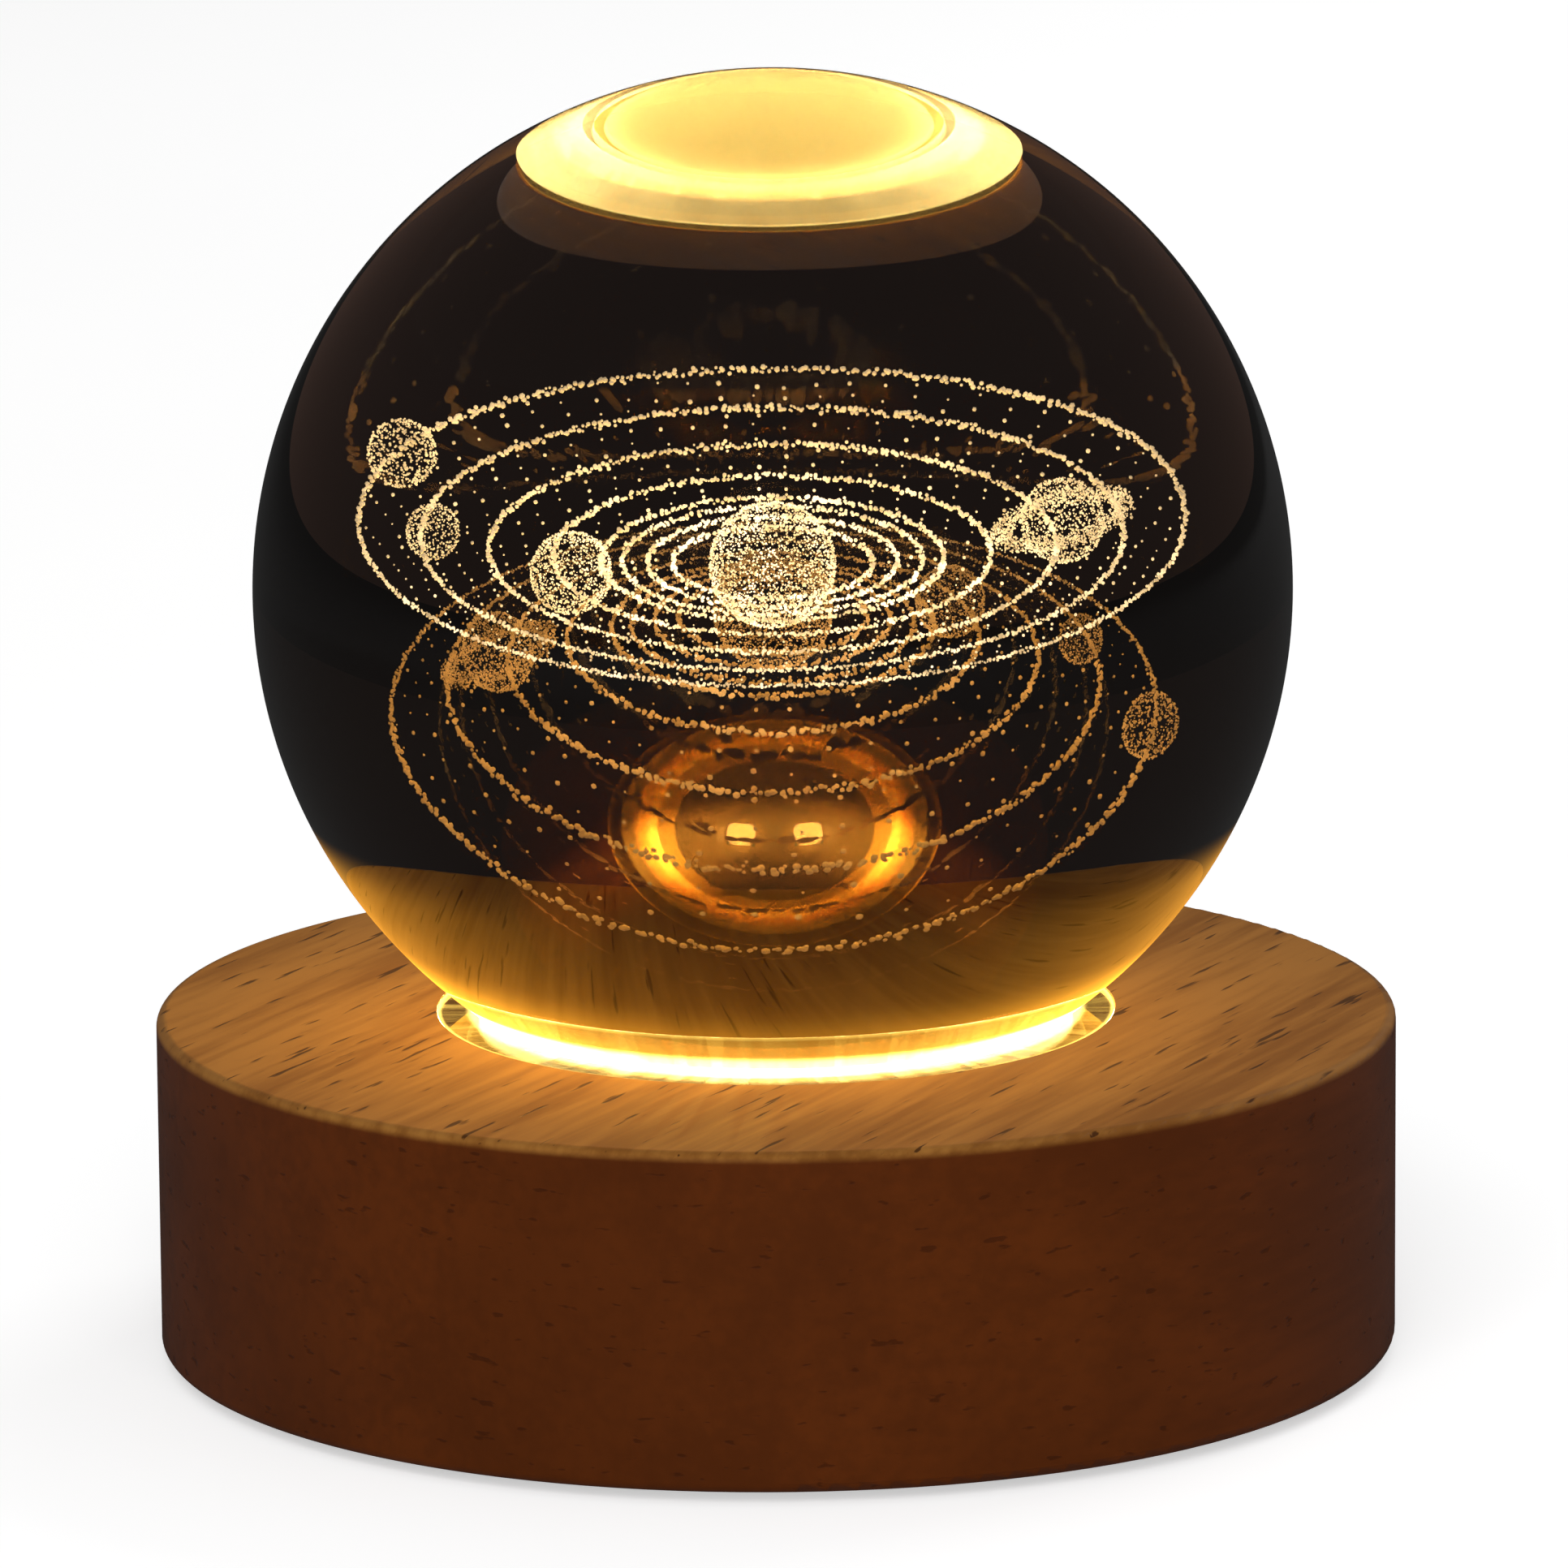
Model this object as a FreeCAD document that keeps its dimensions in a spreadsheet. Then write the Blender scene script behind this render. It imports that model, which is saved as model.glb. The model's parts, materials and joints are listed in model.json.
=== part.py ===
"""Crystal ball lamp: a glass ball on a clear ring in a turned wooden base that is lit from inside.

Millimetres. The origin is the middle of the underside, on the surface that the lamp stands on.
+Z is up, the front faces -Y, and the power inlet and its button are at the rear, +Y.
"""
import FreeCAD
import Part
import Sketcher
import math
import os

doc = FreeCAD.newDocument("CrystalBallLamp")

# Driving sizes in millimetres, and counts
SIZES = [
    ("ball_diameter", 80, "glass ball"),
    ("ball_sink", 7, "depth of the ball's lowest point below the top of the base"),
    ("base_diameter", 96, "wooden base"),
    ("base_height", 26, "wooden base, without the feet"),
    ("base_edge_round", 0.8, "rounding of the base's outer edges"),
    ("wall_thickness", 12.5, "side wall of the base around its cavity"),
    ("web_thickness", 13, "wood above the cavity"),
    ("seat_depth", 3, "recess for the clear ring"),
    ("ring_rim_width", 3.7, "clear ring that shows around the ball"),
    ("ring_clearance", 0.1, "ring to the wall of its recess"),
    ("ring_flush_gap", 0.1, "top of the ring below the top of the base"),
    ("ring_overhang", 2.2, "ring over the light hole"),
    ("ledge_width", 5.3, "wooden ledge under the ring"),
    ("seat_gap", 0.3, "ball to its seat in the ring"),
    ("cup_clearance", 0.2, "light cup to the light hole"),
    ("cup_wall", 1.4, "light cup, measured level"),
    ("cup_flange", 1.2, "thickness of the flange that the light cup stands on"),
    ("cup_top_gap", 0.4, "light cup to the underside of the ring"),
    ("led_gap", 0.6, "light cup to the corners of the diodes"),
    ("led_spacing", 12, "between the two diodes"),
    ("led_width", 5, "square diode"),
    ("led_height", 1.6, "diode"),
    ("phosphor_diameter", 4, "round light face of a diode"),
    ("phosphor_depth", 0.3, "sinking of the light face"),
    ("led_board_thickness", 1.6, "diode board"),
    ("led_board_margin", 3.5, "diode board outside its screws"),
    ("led_screw_inset", 3.5, "diode board screws from the light hole"),
    ("led_screw_count", 3, "diode board screws"),
    ("led_screw_diameter", 2, "diode board screw"),
    ("led_screw_head_diameter", 3.8, "diode board screw"),
    ("led_screw_head_height", 1.3, "diode board screw"),
    ("led_screw_length", 6.6, "diode board screw under its head"),
    ("screw_clearance", 0.15, "screw to the hole that it passes through"),
    ("pilot_clearance", 0.05, "screw to the hole that it holds in"),
    ("pilot_spare", 0.5, "depth of a pilot hole past the screw"),
    ("drive_depth", 0.6, "cross in a screw head"),
    ("drive_width", 0.45, "cross in a screw head"),
    ("cover_thickness", 2.5, "bottom cover"),
    ("cover_lap", 6, "bottom cover over the wall around the cavity"),
    ("cover_clearance", 0.2, "bottom cover to its rebate"),
    ("cover_screw_count", 4, "bottom cover screws"),
    ("cover_screw_diameter", 2.4, "bottom cover screw"),
    ("cover_screw_head_diameter", 4.2, "bottom cover screw"),
    ("cover_screw_head_height", 1.1, "bottom cover screw"),
    ("cover_screw_length", 8, "bottom cover screw under its head"),
    ("head_recess_clearance", 0.2, "screw head to its recess, round it and below it"),
    ("foot_diameter", 10, "rubber foot"),
    ("foot_proud", 1, "rubber foot below the base"),
    ("foot_socket_depth", 1, "rubber foot let into the cover"),
    ("foot_bevel", 0.4, "lower edge of a foot"),
    ("foot_clearance", 0.1, "foot to its socket"),
    ("feet_inset", 10, "middle of a foot from the edge of the cover's rebate"),
    ("bezel_setback", 5.7, "back of the inlet plate inside the base's outer face"),
    ("bezel_thickness", 1.6, "inlet plate"),
    ("bezel_lap", 2.4, "inlet plate above and below the rear window"),
    ("bezel_side_lap", 5, "inlet plate on each side of the rear window"),
    ("bezel_corner", 2, "corner of the inlet plate"),
    ("bezel_clearance", 0.15, "inlet plate to its recess"),
    ("bezel_above_cover", 0.3, "inlet plate above the cover"),
    ("bezel_screw_inset", 2.2, "inlet plate screws from its ends"),
    ("bezel_screw_diameter", 1.8, "inlet plate screw"),
    ("bezel_screw_head_diameter", 3.2, "inlet plate screw"),
    ("bezel_screw_head_height", 1, "inlet plate screw"),
    ("bezel_screw_length", 6.6, "inlet plate screw under its head"),
    ("window_clearance", 0.2, "rear window below the inlet board"),
    ("window_side_clearance", 0.5, "rear window beside and behind the inlet board"),
    ("window_head_room", 0.8, "rear window above the switch"),
    ("window_corner", 0.5, "corner of the rear window"),
    ("inlet_board_width", 25, "inlet board"),
    ("inlet_board_thickness", 1.2, "inlet board"),
    ("board_tail", 5, "inlet board behind the switch"),
    ("boss_inset", 2.4, "middle of a boss from two edges of the inlet board"),
    ("boss_diameter", 4.6, "boss on the cover"),
    ("inlet_screw_diameter", 1.8, "inlet board screw"),
    ("inlet_screw_head_diameter", 3.6, "inlet board screw"),
    ("inlet_screw_head_height", 1.2, "inlet board screw"),
    ("inlet_screw_length", 4, "inlet board screw under its head"),
    ("resistor_length", 3.2, "resistor on the inlet board"),
    ("resistor_width", 1.6, "resistor on the inlet board"),
    ("resistor_height", 0.6, "resistor on the inlet board"),
    ("usb_width", 8.94, "power socket shell"),
    ("usb_height", 3.26, "power socket shell"),
    ("usb_depth", 9, "power socket shell"),
    ("usb_wall", 0.3, "power socket shell"),
    ("usb_corner", 1.5, "outer corner of the shell"),
    ("usb_offset", 5.5, "power socket beside the middle"),
    ("usb_fit", 0.05, "socket core to its shell"),
    ("usb_slot_clearance", 0.15, "socket shell to the inlet plate"),
    ("core_back", 1.8, "back of the socket core"),
    ("tongue_width", 6.7, "tongue of the socket core"),
    ("tongue_height", 0.7, "tongue of the socket core"),
    ("tongue_setback", 0.7, "tongue inside the mouth of the socket"),
    ("switch_width", 8, "switch housing"),
    ("switch_depth", 8, "switch housing"),
    ("switch_height", 5, "switch housing"),
    ("button_offset", 6.5, "push button beside the middle"),
    ("button_diameter", 4.8, "push button"),
    ("button_proud", 2, "push button outside the inlet plate"),
    ("button_edge_round", 0.4, "edge of the push button"),
    ("button_clearance", 0.1, "push button to the inlet plate"),
    ("button_travel", 1.3, "push button"),
    ("travel_spare", 0.4, "collar to the switch with the button pressed"),
    ("collar_diameter", 5.8, "collar that keeps the button in"),
    ("collar_thickness", 1, "collar that keeps the button in"),
    ("collar_gap", 0.1, "collar to the inlet plate"),
    ("stem_diameter", 2, "stem of the push button"),
    ("stem_clearance", 0.08, "stem to its bore in the switch"),
    ("stem_engagement", 3.4, "stem inside the switch"),
    ("spring_length", 3, "return spring"),
    ("spring_end_gap", 0.05, "return spring to what it pushes on"),
    ("spring_wire", 0.26, "return spring"),
    ("spring_diameter", 1.5, "return spring, middle of the wire"),
    ("spring_turns", 3, "return spring"),
    ("lead_diameter", 1.2, "wire to the diodes"),
    ("lead_spacing", 6, "between the two wires"),
    ("lead_inset", 2.2, "wire from the back edge of the inlet board"),
    ("lead_landing", 17, "wire's joint on the diode board from the middle"),
    ("engraving_rise", 1.6, "middle of the engraving above the ball's centre"),
    ("engraving_forward", 1.85, "middle of the engraving in front of the ball's centre"),
    ("engraving_clearance", 0.02, "engraving to the glass around it"),
    ("orbit_line", 0.24, "thickness of an engraved orbit"),
    ("orbit_gap", 0.15, "end of an engraved orbit to the globe that stands on it"),
    ("orbit_1_radius", 5.2, "innermost engraved orbit"),
    ("orbit_2_radius", 6.5, "engraved orbit"),
    ("orbit_3_radius", 7.8, "engraved orbit"),
    ("orbit_4_radius", 8.9, "engraved orbit"),
    ("orbit_5_radius", 11.4, "engraved orbit"),
    ("orbit_6_radius", 14.8, "engraved orbit"),
    ("orbit_7_radius", 18.4, "engraved orbit"),
    ("orbit_8_radius", 21.8, "outermost engraved orbit"),
    ("sun_radius", 3.3, "engraved globe in the middle"),
    ("sun_distance", 0, "from the middle of the engraving"),
    ("giant_radius", 2.2, "engraved globe"),
    ("giant_distance", 10.7, "from the middle of the engraving"),
    ("ringed_radius", 2.1, "engraved globe that wears a ring"),
    ("ringed_distance", 15.5, "from the middle of the engraving"),
    ("inner_pale_radius", 1.4, "engraved globe"),
    ("inner_pale_distance", 17.8, "from the middle of the engraving"),
    ("outer_pale_radius", 1.5, "engraved globe"),
    ("outer_pale_distance", 21.6, "from the middle of the engraving"),
    ("globe_ring_inner", 2.6, "inner radius of the ring round a globe"),
    ("globe_ring_outer", 3.7, "outer radius of the ring round a globe"),
    ("globe_ring_thickness", 0.16, "ring round a globe"),
]
DRIVE_SPAN = 0.6  # length of the cross, as a share of the screw head
LEAD_BEND_SHARE = 0.8  # share of a wire's upright run that its bend takes up
FIRST_COVER_SCREW = 45  # degrees from +X
FIRST_LED_SCREW = 30  # degrees from +X
FULL_TURN = 360
ENGRAVING_TILT = 8.9  # degrees by which the engraving's back edge is raised
GLOBE_RING_TILT = -10  # degrees by which the ring round a globe leans in the engraving
ORBIT_COUNT = 8
# Where each engraved globe stands about the engraving's middle, in degrees from +X
GLOBE_ANGLES = {"sun": 0, "giant": 185, "ringed": 22.3, "inner_pale": 163.3, "outer_pale": 139}
RINGED_GLOBE = "ringed"
ENGRAVING_TURN = FreeCAD.Rotation(FreeCAD.Vector(1, 0, 0), ENGRAVING_TILT)

sheet = doc.addObject("Spreadsheet::Sheet", "Sizes")
for row, (alias, number, note) in enumerate(SIZES, start=1):
    sheet.set(f"A{row}", note)
    sheet.set(f"B{row}", str(number))
    sheet.setAlias(f"B{row}", alias)
doc.recompute()

# Heights above the floor, as expressions on the sheet
BASE_BOTTOM = "Sizes.foot_proud"
BASE_TOP = f"({BASE_BOTTOM} + Sizes.base_height)"
LEDGE = f"({BASE_TOP} - Sizes.seat_depth)"
RING_TOP = f"({BASE_TOP} - Sizes.ring_flush_gap)"
CEILING = f"({BASE_TOP} - Sizes.web_thickness)"
CUP_TOP = f"({LEDGE} - Sizes.cup_top_gap)"
LED_BOARD_BOTTOM = f"({CEILING} - Sizes.led_board_thickness)"
COVER_TOP = f"({BASE_BOTTOM} + Sizes.cover_thickness)"
COVER_SCREW_SINK = "(Sizes.cover_screw_head_height + Sizes.head_recess_clearance)"
COVER_SCREW_SEAT = f"({BASE_BOTTOM} + {COVER_SCREW_SINK})"
BEZEL_BOTTOM = f"({COVER_TOP} + Sizes.bezel_above_cover)"
WINDOW_BOTTOM = f"({BEZEL_BOTTOM} + Sizes.bezel_lap)"
INLET_BOARD_BOTTOM = f"({WINDOW_BOTTOM} + Sizes.window_clearance)"
INLET_BOARD_TOP = f"({INLET_BOARD_BOTTOM} + Sizes.inlet_board_thickness)"
WINDOW_TOP = f"({INLET_BOARD_TOP} + Sizes.switch_height + Sizes.window_head_room)"
WINDOW_HEIGHT = f"({WINDOW_TOP} - {WINDOW_BOTTOM})"
WINDOW_MIDDLE = f"(({WINDOW_TOP} + {WINDOW_BOTTOM}) / 2)"
BEZEL_HEIGHT = f"({WINDOW_HEIGHT} + 2 * Sizes.bezel_lap)"
USB_AXIS = f"({INLET_BOARD_TOP} + Sizes.usb_height / 2)"
LEAD_LEVEL = f"(({INLET_BOARD_TOP} + {LED_BOARD_BOTTOM}) / 2)"

# Radii about the lamp's axis
BALL_RADIUS = "(Sizes.ball_diameter / 2)"
BALL_CENTRE = f"({BASE_TOP} - Sizes.ball_sink + {BALL_RADIUS})"
ENGRAVING_Y = "(-Sizes.engraving_forward)"
ENGRAVING_Z = f"({BALL_CENTRE} + Sizes.engraving_rise)"
BALL_AT_BASE_TOP = f"sqrt({BALL_RADIUS}^2 - ({BALL_RADIUS} - Sizes.ball_sink)^2)"
BASE_RADIUS = "(Sizes.base_diameter / 2)"
SEAT_RADIUS = f"({BALL_AT_BASE_TOP} + Sizes.ring_rim_width)"
LIGHT_HOLE_RADIUS = f"({SEAT_RADIUS} - Sizes.ledge_width)"
RING_BORE_RADIUS = f"({LIGHT_HOLE_RADIUS} - Sizes.ring_overhang)"
CUP_RADIUS = f"({LIGHT_HOLE_RADIUS} - Sizes.cup_clearance)"
CUP_MOUTH_RADIUS = f"({CUP_RADIUS} - Sizes.cup_wall)"
LED_REACH = "((Sizes.led_spacing + Sizes.led_width) / 2)"
CUP_BORE_RADIUS = f"(sqrt({LED_REACH}^2 + (Sizes.led_width / 2)^2) + Sizes.led_gap)"
LED_SCREW_RADIUS = f"({LIGHT_HOLE_RADIUS} + Sizes.led_screw_inset)"
LED_BOARD_RADIUS = f"({LED_SCREW_RADIUS} + Sizes.led_board_margin)"
CAVITY_RADIUS = f"({BASE_RADIUS} - Sizes.wall_thickness)"
REBATE_RADIUS = f"({CAVITY_RADIUS} + Sizes.cover_lap)"
COVER_SCREW_RADIUS = f"({CAVITY_RADIUS} + Sizes.cover_lap / 2)"
FEET_RADIUS = f"({REBATE_RADIUS} - Sizes.feet_inset)"

# Places along Y of the inlet at the rear, and widths along X
BEZEL_BACK = f"({BASE_RADIUS} - Sizes.bezel_setback)"
BEZEL_FRONT = f"({BEZEL_BACK} + Sizes.bezel_thickness)"
COLLAR_BACK = f"({BEZEL_BACK} - Sizes.collar_gap - Sizes.collar_thickness)"
SWITCH_FRONT = f"({COLLAR_BACK} - Sizes.button_travel - Sizes.travel_spare)"
SWITCH_BACK = f"({SWITCH_FRONT} - Sizes.switch_depth)"
INLET_BOARD_BACK = f"({SWITCH_BACK} - Sizes.board_tail)"
BOSS_Y = f"({INLET_BOARD_BACK} + Sizes.boss_inset)"
BOSS_X = "(Sizes.inlet_board_width / 2 - Sizes.boss_inset)"
USB_BACK = f"({BEZEL_FRONT} - Sizes.usb_depth)"
LEAD_Y = f"({INLET_BOARD_BACK} + Sizes.lead_inset)"
STEM_LENGTH = "(Sizes.button_travel + Sizes.travel_spare + Sizes.stem_engagement)"
SPRING_ROOM = "(Sizes.spring_length + 2 * Sizes.spring_end_gap)"
STEM_BORE_DEPTH = f"(Sizes.stem_engagement + {SPRING_ROOM})"
WINDOW_WIDTH = "(Sizes.inlet_board_width + 2 * Sizes.window_side_clearance)"
BEZEL_WIDTH = f"({WINDOW_WIDTH} + 2 * Sizes.bezel_side_lap)"
BEZEL_SCREW_X = f"({BEZEL_WIDTH} / 2 - Sizes.bezel_screw_inset)"


def value(expression):
    """The number that an expression on the sheet has now."""
    return float(sheet.evalExpression(expression))


def count(alias):
    """A whole number from the sheet."""
    return int(round(value(f"Sizes.{alias}")))


def place(thing, x="0", y="0", z="0"):
    """Bind an object's position to expressions."""
    for axis, expression in zip("xyz", (x, y, z)):
        thing.setExpression(f"Placement.Base.{axis}", expression)


def turn_about_x(thing, degrees):
    """Turn an object about the X axis."""
    rotation = FreeCAD.Rotation(FreeCAD.Vector(1, 0, 0), degrees)
    thing.Placement = FreeCAD.Placement(FreeCAD.Vector(), rotation)


def primitive(kind, label, at=("0", "0", "0"), **sizes):
    """A Part primitive whose sizes and place are bound to the sheet."""
    thing = doc.addObject(f"Part::{kind}", label)
    for name, expression in sizes.items():
        thing.setExpression(name, expression)
    place(thing, *at)
    return thing


def centred_box(label, x, y, bottom, length, width, height):
    """A box given by the middle of its bottom face."""
    corner = (f"{x} - {length} / 2", f"{y} - {width} / 2", bottom)
    return primitive("Box", label, corner, Length=length, Width=width, Height=height)


def cut(label, base, tool):
    """The first shape without the second."""
    result = doc.addObject("Part::Cut", label)
    result.Base = base
    result.Tool = tool
    return result


def join(label, first, second):
    """Two shapes as one."""
    result = doc.addObject("Part::Fuse", label)
    result.Base = first
    result.Tool = second
    return result


def group(label, things):
    """Several like pieces that share a node."""
    result = doc.addObject("Part::Compound", label)
    result.Links = things
    return result


def new_body(label):
    """An empty PartDesign body."""
    return doc.addObject("PartDesign::Body", label)


def origin_feature(body, role):
    """A plane or an axis of a body's own origin."""
    return next(feature for feature in body.Origin.OriginFeatures if feature.Role == role)


def new_sketch(body, label, plane, offset="0"):
    """A sketch on one of the body's origin planes, moved along the plane's normal."""
    sketch = body.newObject("Sketcher::SketchObject", label)
    sketch.AttachmentSupport = [(origin_feature(body, plane), "")]
    sketch.MapMode = "FlatFace"
    sketch.setExpression("AttachmentOffset.Base.z", offset)
    return sketch


def rear_sketch(body, label, y):
    """A sketch that faces the front at a place along Y, with X to the right and Z up."""
    return new_sketch(body, label, "XZ_Plane", f"-{y}")


def set_distance(sketch, kind, geometry, point, expression):
    """Bind a sketch point's distance from the origin along one axis."""
    constraint = Sketcher.Constraint(kind, -1, 1, geometry, point, value(expression))
    index = sketch.addConstraint(constraint)
    sketch.setExpression(f"Constraints[{index}]", expression)


def pin(sketch, geometry, point, x, y):
    """Bind both coordinates of a sketch point."""
    set_distance(sketch, "DistanceX", geometry, point, x)
    set_distance(sketch, "DistanceY", geometry, point, y)


def add_outline(sketch, corners):
    """A closed outline of straight lines through bound corners."""
    points = [FreeCAD.Vector(value(x), value(y), 0) for x, y in corners]
    following = points[1:] + points[:1]
    lines = [sketch.addGeometry(Part.LineSegment(a, b)) for a, b in zip(points, following)]
    for line, after in zip(lines, lines[1:] + lines[:1]):
        sketch.addConstraint(Sketcher.Constraint("Coincident", line, 2, after, 1))
    for line, (x, y) in zip(lines, corners):
        pin(sketch, line, 1, x, y)


def add_circle(sketch, x, y, radius):
    """A circle with a bound centre and radius."""
    centre = FreeCAD.Vector(value(x), value(y), 0)
    up = FreeCAD.Vector(0, 0, 1)
    circle = sketch.addGeometry(Part.Circle(centre, up, value(radius)))
    pin(sketch, circle, 3, x, y)
    index = sketch.addConstraint(Sketcher.Constraint("Radius", circle, value(radius)))
    sketch.setExpression(f"Constraints[{index}]", radius)


def add_rounded_rectangle(sketch, x, y, width, height, corner):
    """A rectangle about a bound centre with four quarter-circle corners."""
    quarter = math.pi / 2
    ways = [(1, 0), (0, 1), (-1, 0), (0, -1)]
    corners = []
    for side, (sx, sy) in enumerate([(1, 1), (-1, 1), (-1, -1), (1, -1)]):
        centre_x = f"({x} + {sx} * ({width} / 2 - {corner}))"
        centre_y = f"({y} + {sy} * ({height} / 2 - {corner}))"
        first, last = ways[side], ways[(side + 1) % len(ways)]
        starts = [f"{centre_x} + {first[0]} * {corner}", f"{centre_y} + {first[1]} * {corner}"]
        ends = [f"{centre_x} + {last[0]} * {corner}", f"{centre_y} + {last[1]} * {corner}"]
        centre = FreeCAD.Vector(value(centre_x), value(centre_y), 0)
        circle = Part.Circle(centre, FreeCAD.Vector(0, 0, 1), value(corner))
        arc = Part.ArcOfCircle(circle, side * quarter, (side + 1) * quarter)
        index = sketch.addGeometry(arc)
        set_distance(sketch, "DistanceX", index, 3, centre_x)
        corners.append((index, arc, starts, ends))
    for here, after in zip(corners, corners[1:] + corners[:1]):
        line = sketch.addGeometry(Part.LineSegment(here[1].EndPoint, after[1].StartPoint))
        sketch.addConstraint(Sketcher.Constraint("Coincident", here[0], 2, line, 1))
        sketch.addConstraint(Sketcher.Constraint("Coincident", line, 2, after[0], 1))
        pin(sketch, line, 1, *here[3])
        pin(sketch, line, 2, *after[2])


def extrude(body, kind, label, sketch, length=None, reverse=False):
    """A Pad or Pocket of a sketch, through everything where no length is given."""
    feature = body.newObject(f"PartDesign::{kind}", label)
    feature.Profile = sketch
    feature.Reversed = reverse
    if length is None:
        feature.Type = "ThroughAll"
    else:
        feature.setExpression("Length", length)
    return feature


def revolve(body, label, sketch):
    """A turned shape about the sketch's upright axis."""
    feature = body.newObject("PartDesign::Revolution", label)
    feature.Profile = sketch
    feature.ReferenceAxis = (sketch, ["V_Axis"])
    feature.Angle = FULL_TURN
    return feature


def ring_of(body, label, feature, occurrences):
    """Repeat a feature evenly around the body's Z axis."""
    pattern = body.newObject("PartDesign::PolarPattern", label)
    pattern.Originals = [feature]
    pattern.Axis = (origin_feature(body, "Z_Axis"), [""])
    pattern.Angle = FULL_TURN
    pattern.setExpression("Occurrences", occurrences)
    body.Tip = pattern


def round_rims(body, label, feature, radius, levels, rounding):
    """Round the circular edges of one radius that lie at the given heights."""
    doc.recompute()
    near = 1e-4
    names = []
    for number, edge in enumerate(feature.Shape.Edges, start=1):
        curve = edge.Curve
        if isinstance(curve, Part.Circle) and abs(curve.Radius - value(radius)) < near:
            if any(abs(curve.Center.z - value(level)) < near for level in levels):
                names.append(f"Edge{number}")
    fillet = body.newObject("PartDesign::Fillet", label)
    fillet.Base = (feature, names)
    fillet.setExpression("Radius", rounding)
    return fillet


def polar(radius, degrees):
    """X and Y, as expressions, of a point on a circle about the lamp's axis."""
    return f"{radius} * cos({degrees})", f"{radius} * sin({degrees})"


def screw(label, kind, at, degrees=0):
    """A pan-head screw whose shank points up, turned about X, with the origin under its head."""
    sizes = f"Sizes.{kind}_screw_"
    head_height = f"{sizes}head_height"
    head = primitive("Cylinder", f"{label}_head", ("0", "0", f"-{head_height}"),
                     Radius=f"{sizes}head_diameter / 2", Height=head_height)
    shank = primitive("Cylinder", f"{label}_shank",
                      Radius=f"{sizes}diameter / 2", Height=f"{sizes}length")
    blank = join(f"{label}_blank", head, shank)
    span = f"{DRIVE_SPAN} * {sizes}head_diameter"
    width, depth = "Sizes.drive_width", "Sizes.drive_depth"
    across = centred_box(f"{label}_drive_across", "0", "0", f"-{head_height}", span, width, depth)
    along = centred_box(f"{label}_drive_along", "0", "0", f"-{head_height}", width, span, depth)
    piece = cut(label, blank, join(f"{label}_drive", across, along))
    turn_about_x(piece, degrees)
    place(piece, *at)
    return piece


def in_engraving(angle, distance):
    """X, Y and Z, as expressions, of a point in the tilted plane of the engraving."""
    right, back = polar(distance, angle)
    return (right, f"{ENGRAVING_Y} + {back} * cos({ENGRAVING_TILT})",
            f"{ENGRAVING_Z} + {back} * sin({ENGRAVING_TILT})")


def orbit_stretch(number):
    """Where an engraved orbit starts and how far it runs, in degrees; it stops at a globe on its way."""
    radius = value(f"Sizes.orbit_{number}_radius")
    distances = {name: value(f"Sizes.{name}_distance") for name in GLOBE_ANGLES}
    name = min(distances, key=lambda globe: abs(distances[globe] - radius))
    distance = distances[name]
    size = value("Sizes.globe_ring_outer" if name == RINGED_GLOBE else f"Sizes.{name}_radius")
    reach = size + value("Sizes.orbit_line / 2 + Sizes.orbit_gap")
    if abs(distance - radius) > reach:
        return 0, FULL_TURN
    stop = math.degrees(math.acos((radius ** 2 + distance ** 2 - reach ** 2) / (2 * radius * distance)))
    return GLOBE_ANGLES[name] + stop, FULL_TURN - 2 * stop


def orbit_shape(number, spare, label):
    """An engraved orbit, thicker by the spare all round."""
    orbit = doc.addObject("Part::Torus", f"{label}_{number}")
    orbit.setExpression("Radius1", f"Sizes.orbit_{number}_radius")
    orbit.setExpression("Radius2", f"Sizes.orbit_line / 2 + {spare}")
    start, orbit.Angle3 = orbit_stretch(number)
    turn = FreeCAD.Rotation(FreeCAD.Vector(0, 0, 1), start)
    orbit.Placement = FreeCAD.Placement(FreeCAD.Vector(), ENGRAVING_TURN.multiply(turn))
    place(orbit, "0", ENGRAVING_Y, ENGRAVING_Z)
    return orbit


def globe_shape(name, spare, label):
    """An engraved globe, wider by the spare all round."""
    at = in_engraving(GLOBE_ANGLES[name], f"Sizes.{name}_distance")
    return primitive("Sphere", f"{label}_{name}", at, Radius=f"Sizes.{name}_radius + {spare}")


def globe_ring_shape(spare, label):
    """The flat ring round an engraved globe, larger by the spare all round."""
    height = f"(Sizes.globe_ring_thickness + 2 * {spare})"
    bottom = ("0", "0", f"-{height} / 2")
    outer, inner = f"Sizes.globe_ring_outer + {spare}", f"Sizes.globe_ring_inner - {spare}"
    disc = primitive("Cylinder", f"{label}_disc", bottom, Radius=outer, Height=height)
    hole = primitive("Cylinder", f"{label}_hole", bottom, Radius=inner, Height=height)
    ring = cut(f"{label}_globe_ring", disc, hole)
    lean = FreeCAD.Rotation(FreeCAD.Vector(0, 1, 0), GLOBE_RING_TILT)
    ring.Placement = FreeCAD.Placement(FreeCAD.Vector(), ENGRAVING_TURN.multiply(lean))
    place(ring, *in_engraving(GLOBE_ANGLES[RINGED_GLOBE], f"Sizes.{RINGED_GLOBE}_distance"))
    return ring


def orbit_shapes(spare, label):
    """All engraved orbits."""
    return [orbit_shape(number, spare, label) for number in range(1, ORBIT_COUNT + 1)]


def globe_shapes(spare, label):
    """All engraved globes and the ring round one of them."""
    return [globe_shape(name, spare, label) for name in GLOBE_ANGLES] + [globe_ring_shape(spare, label)]


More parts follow.
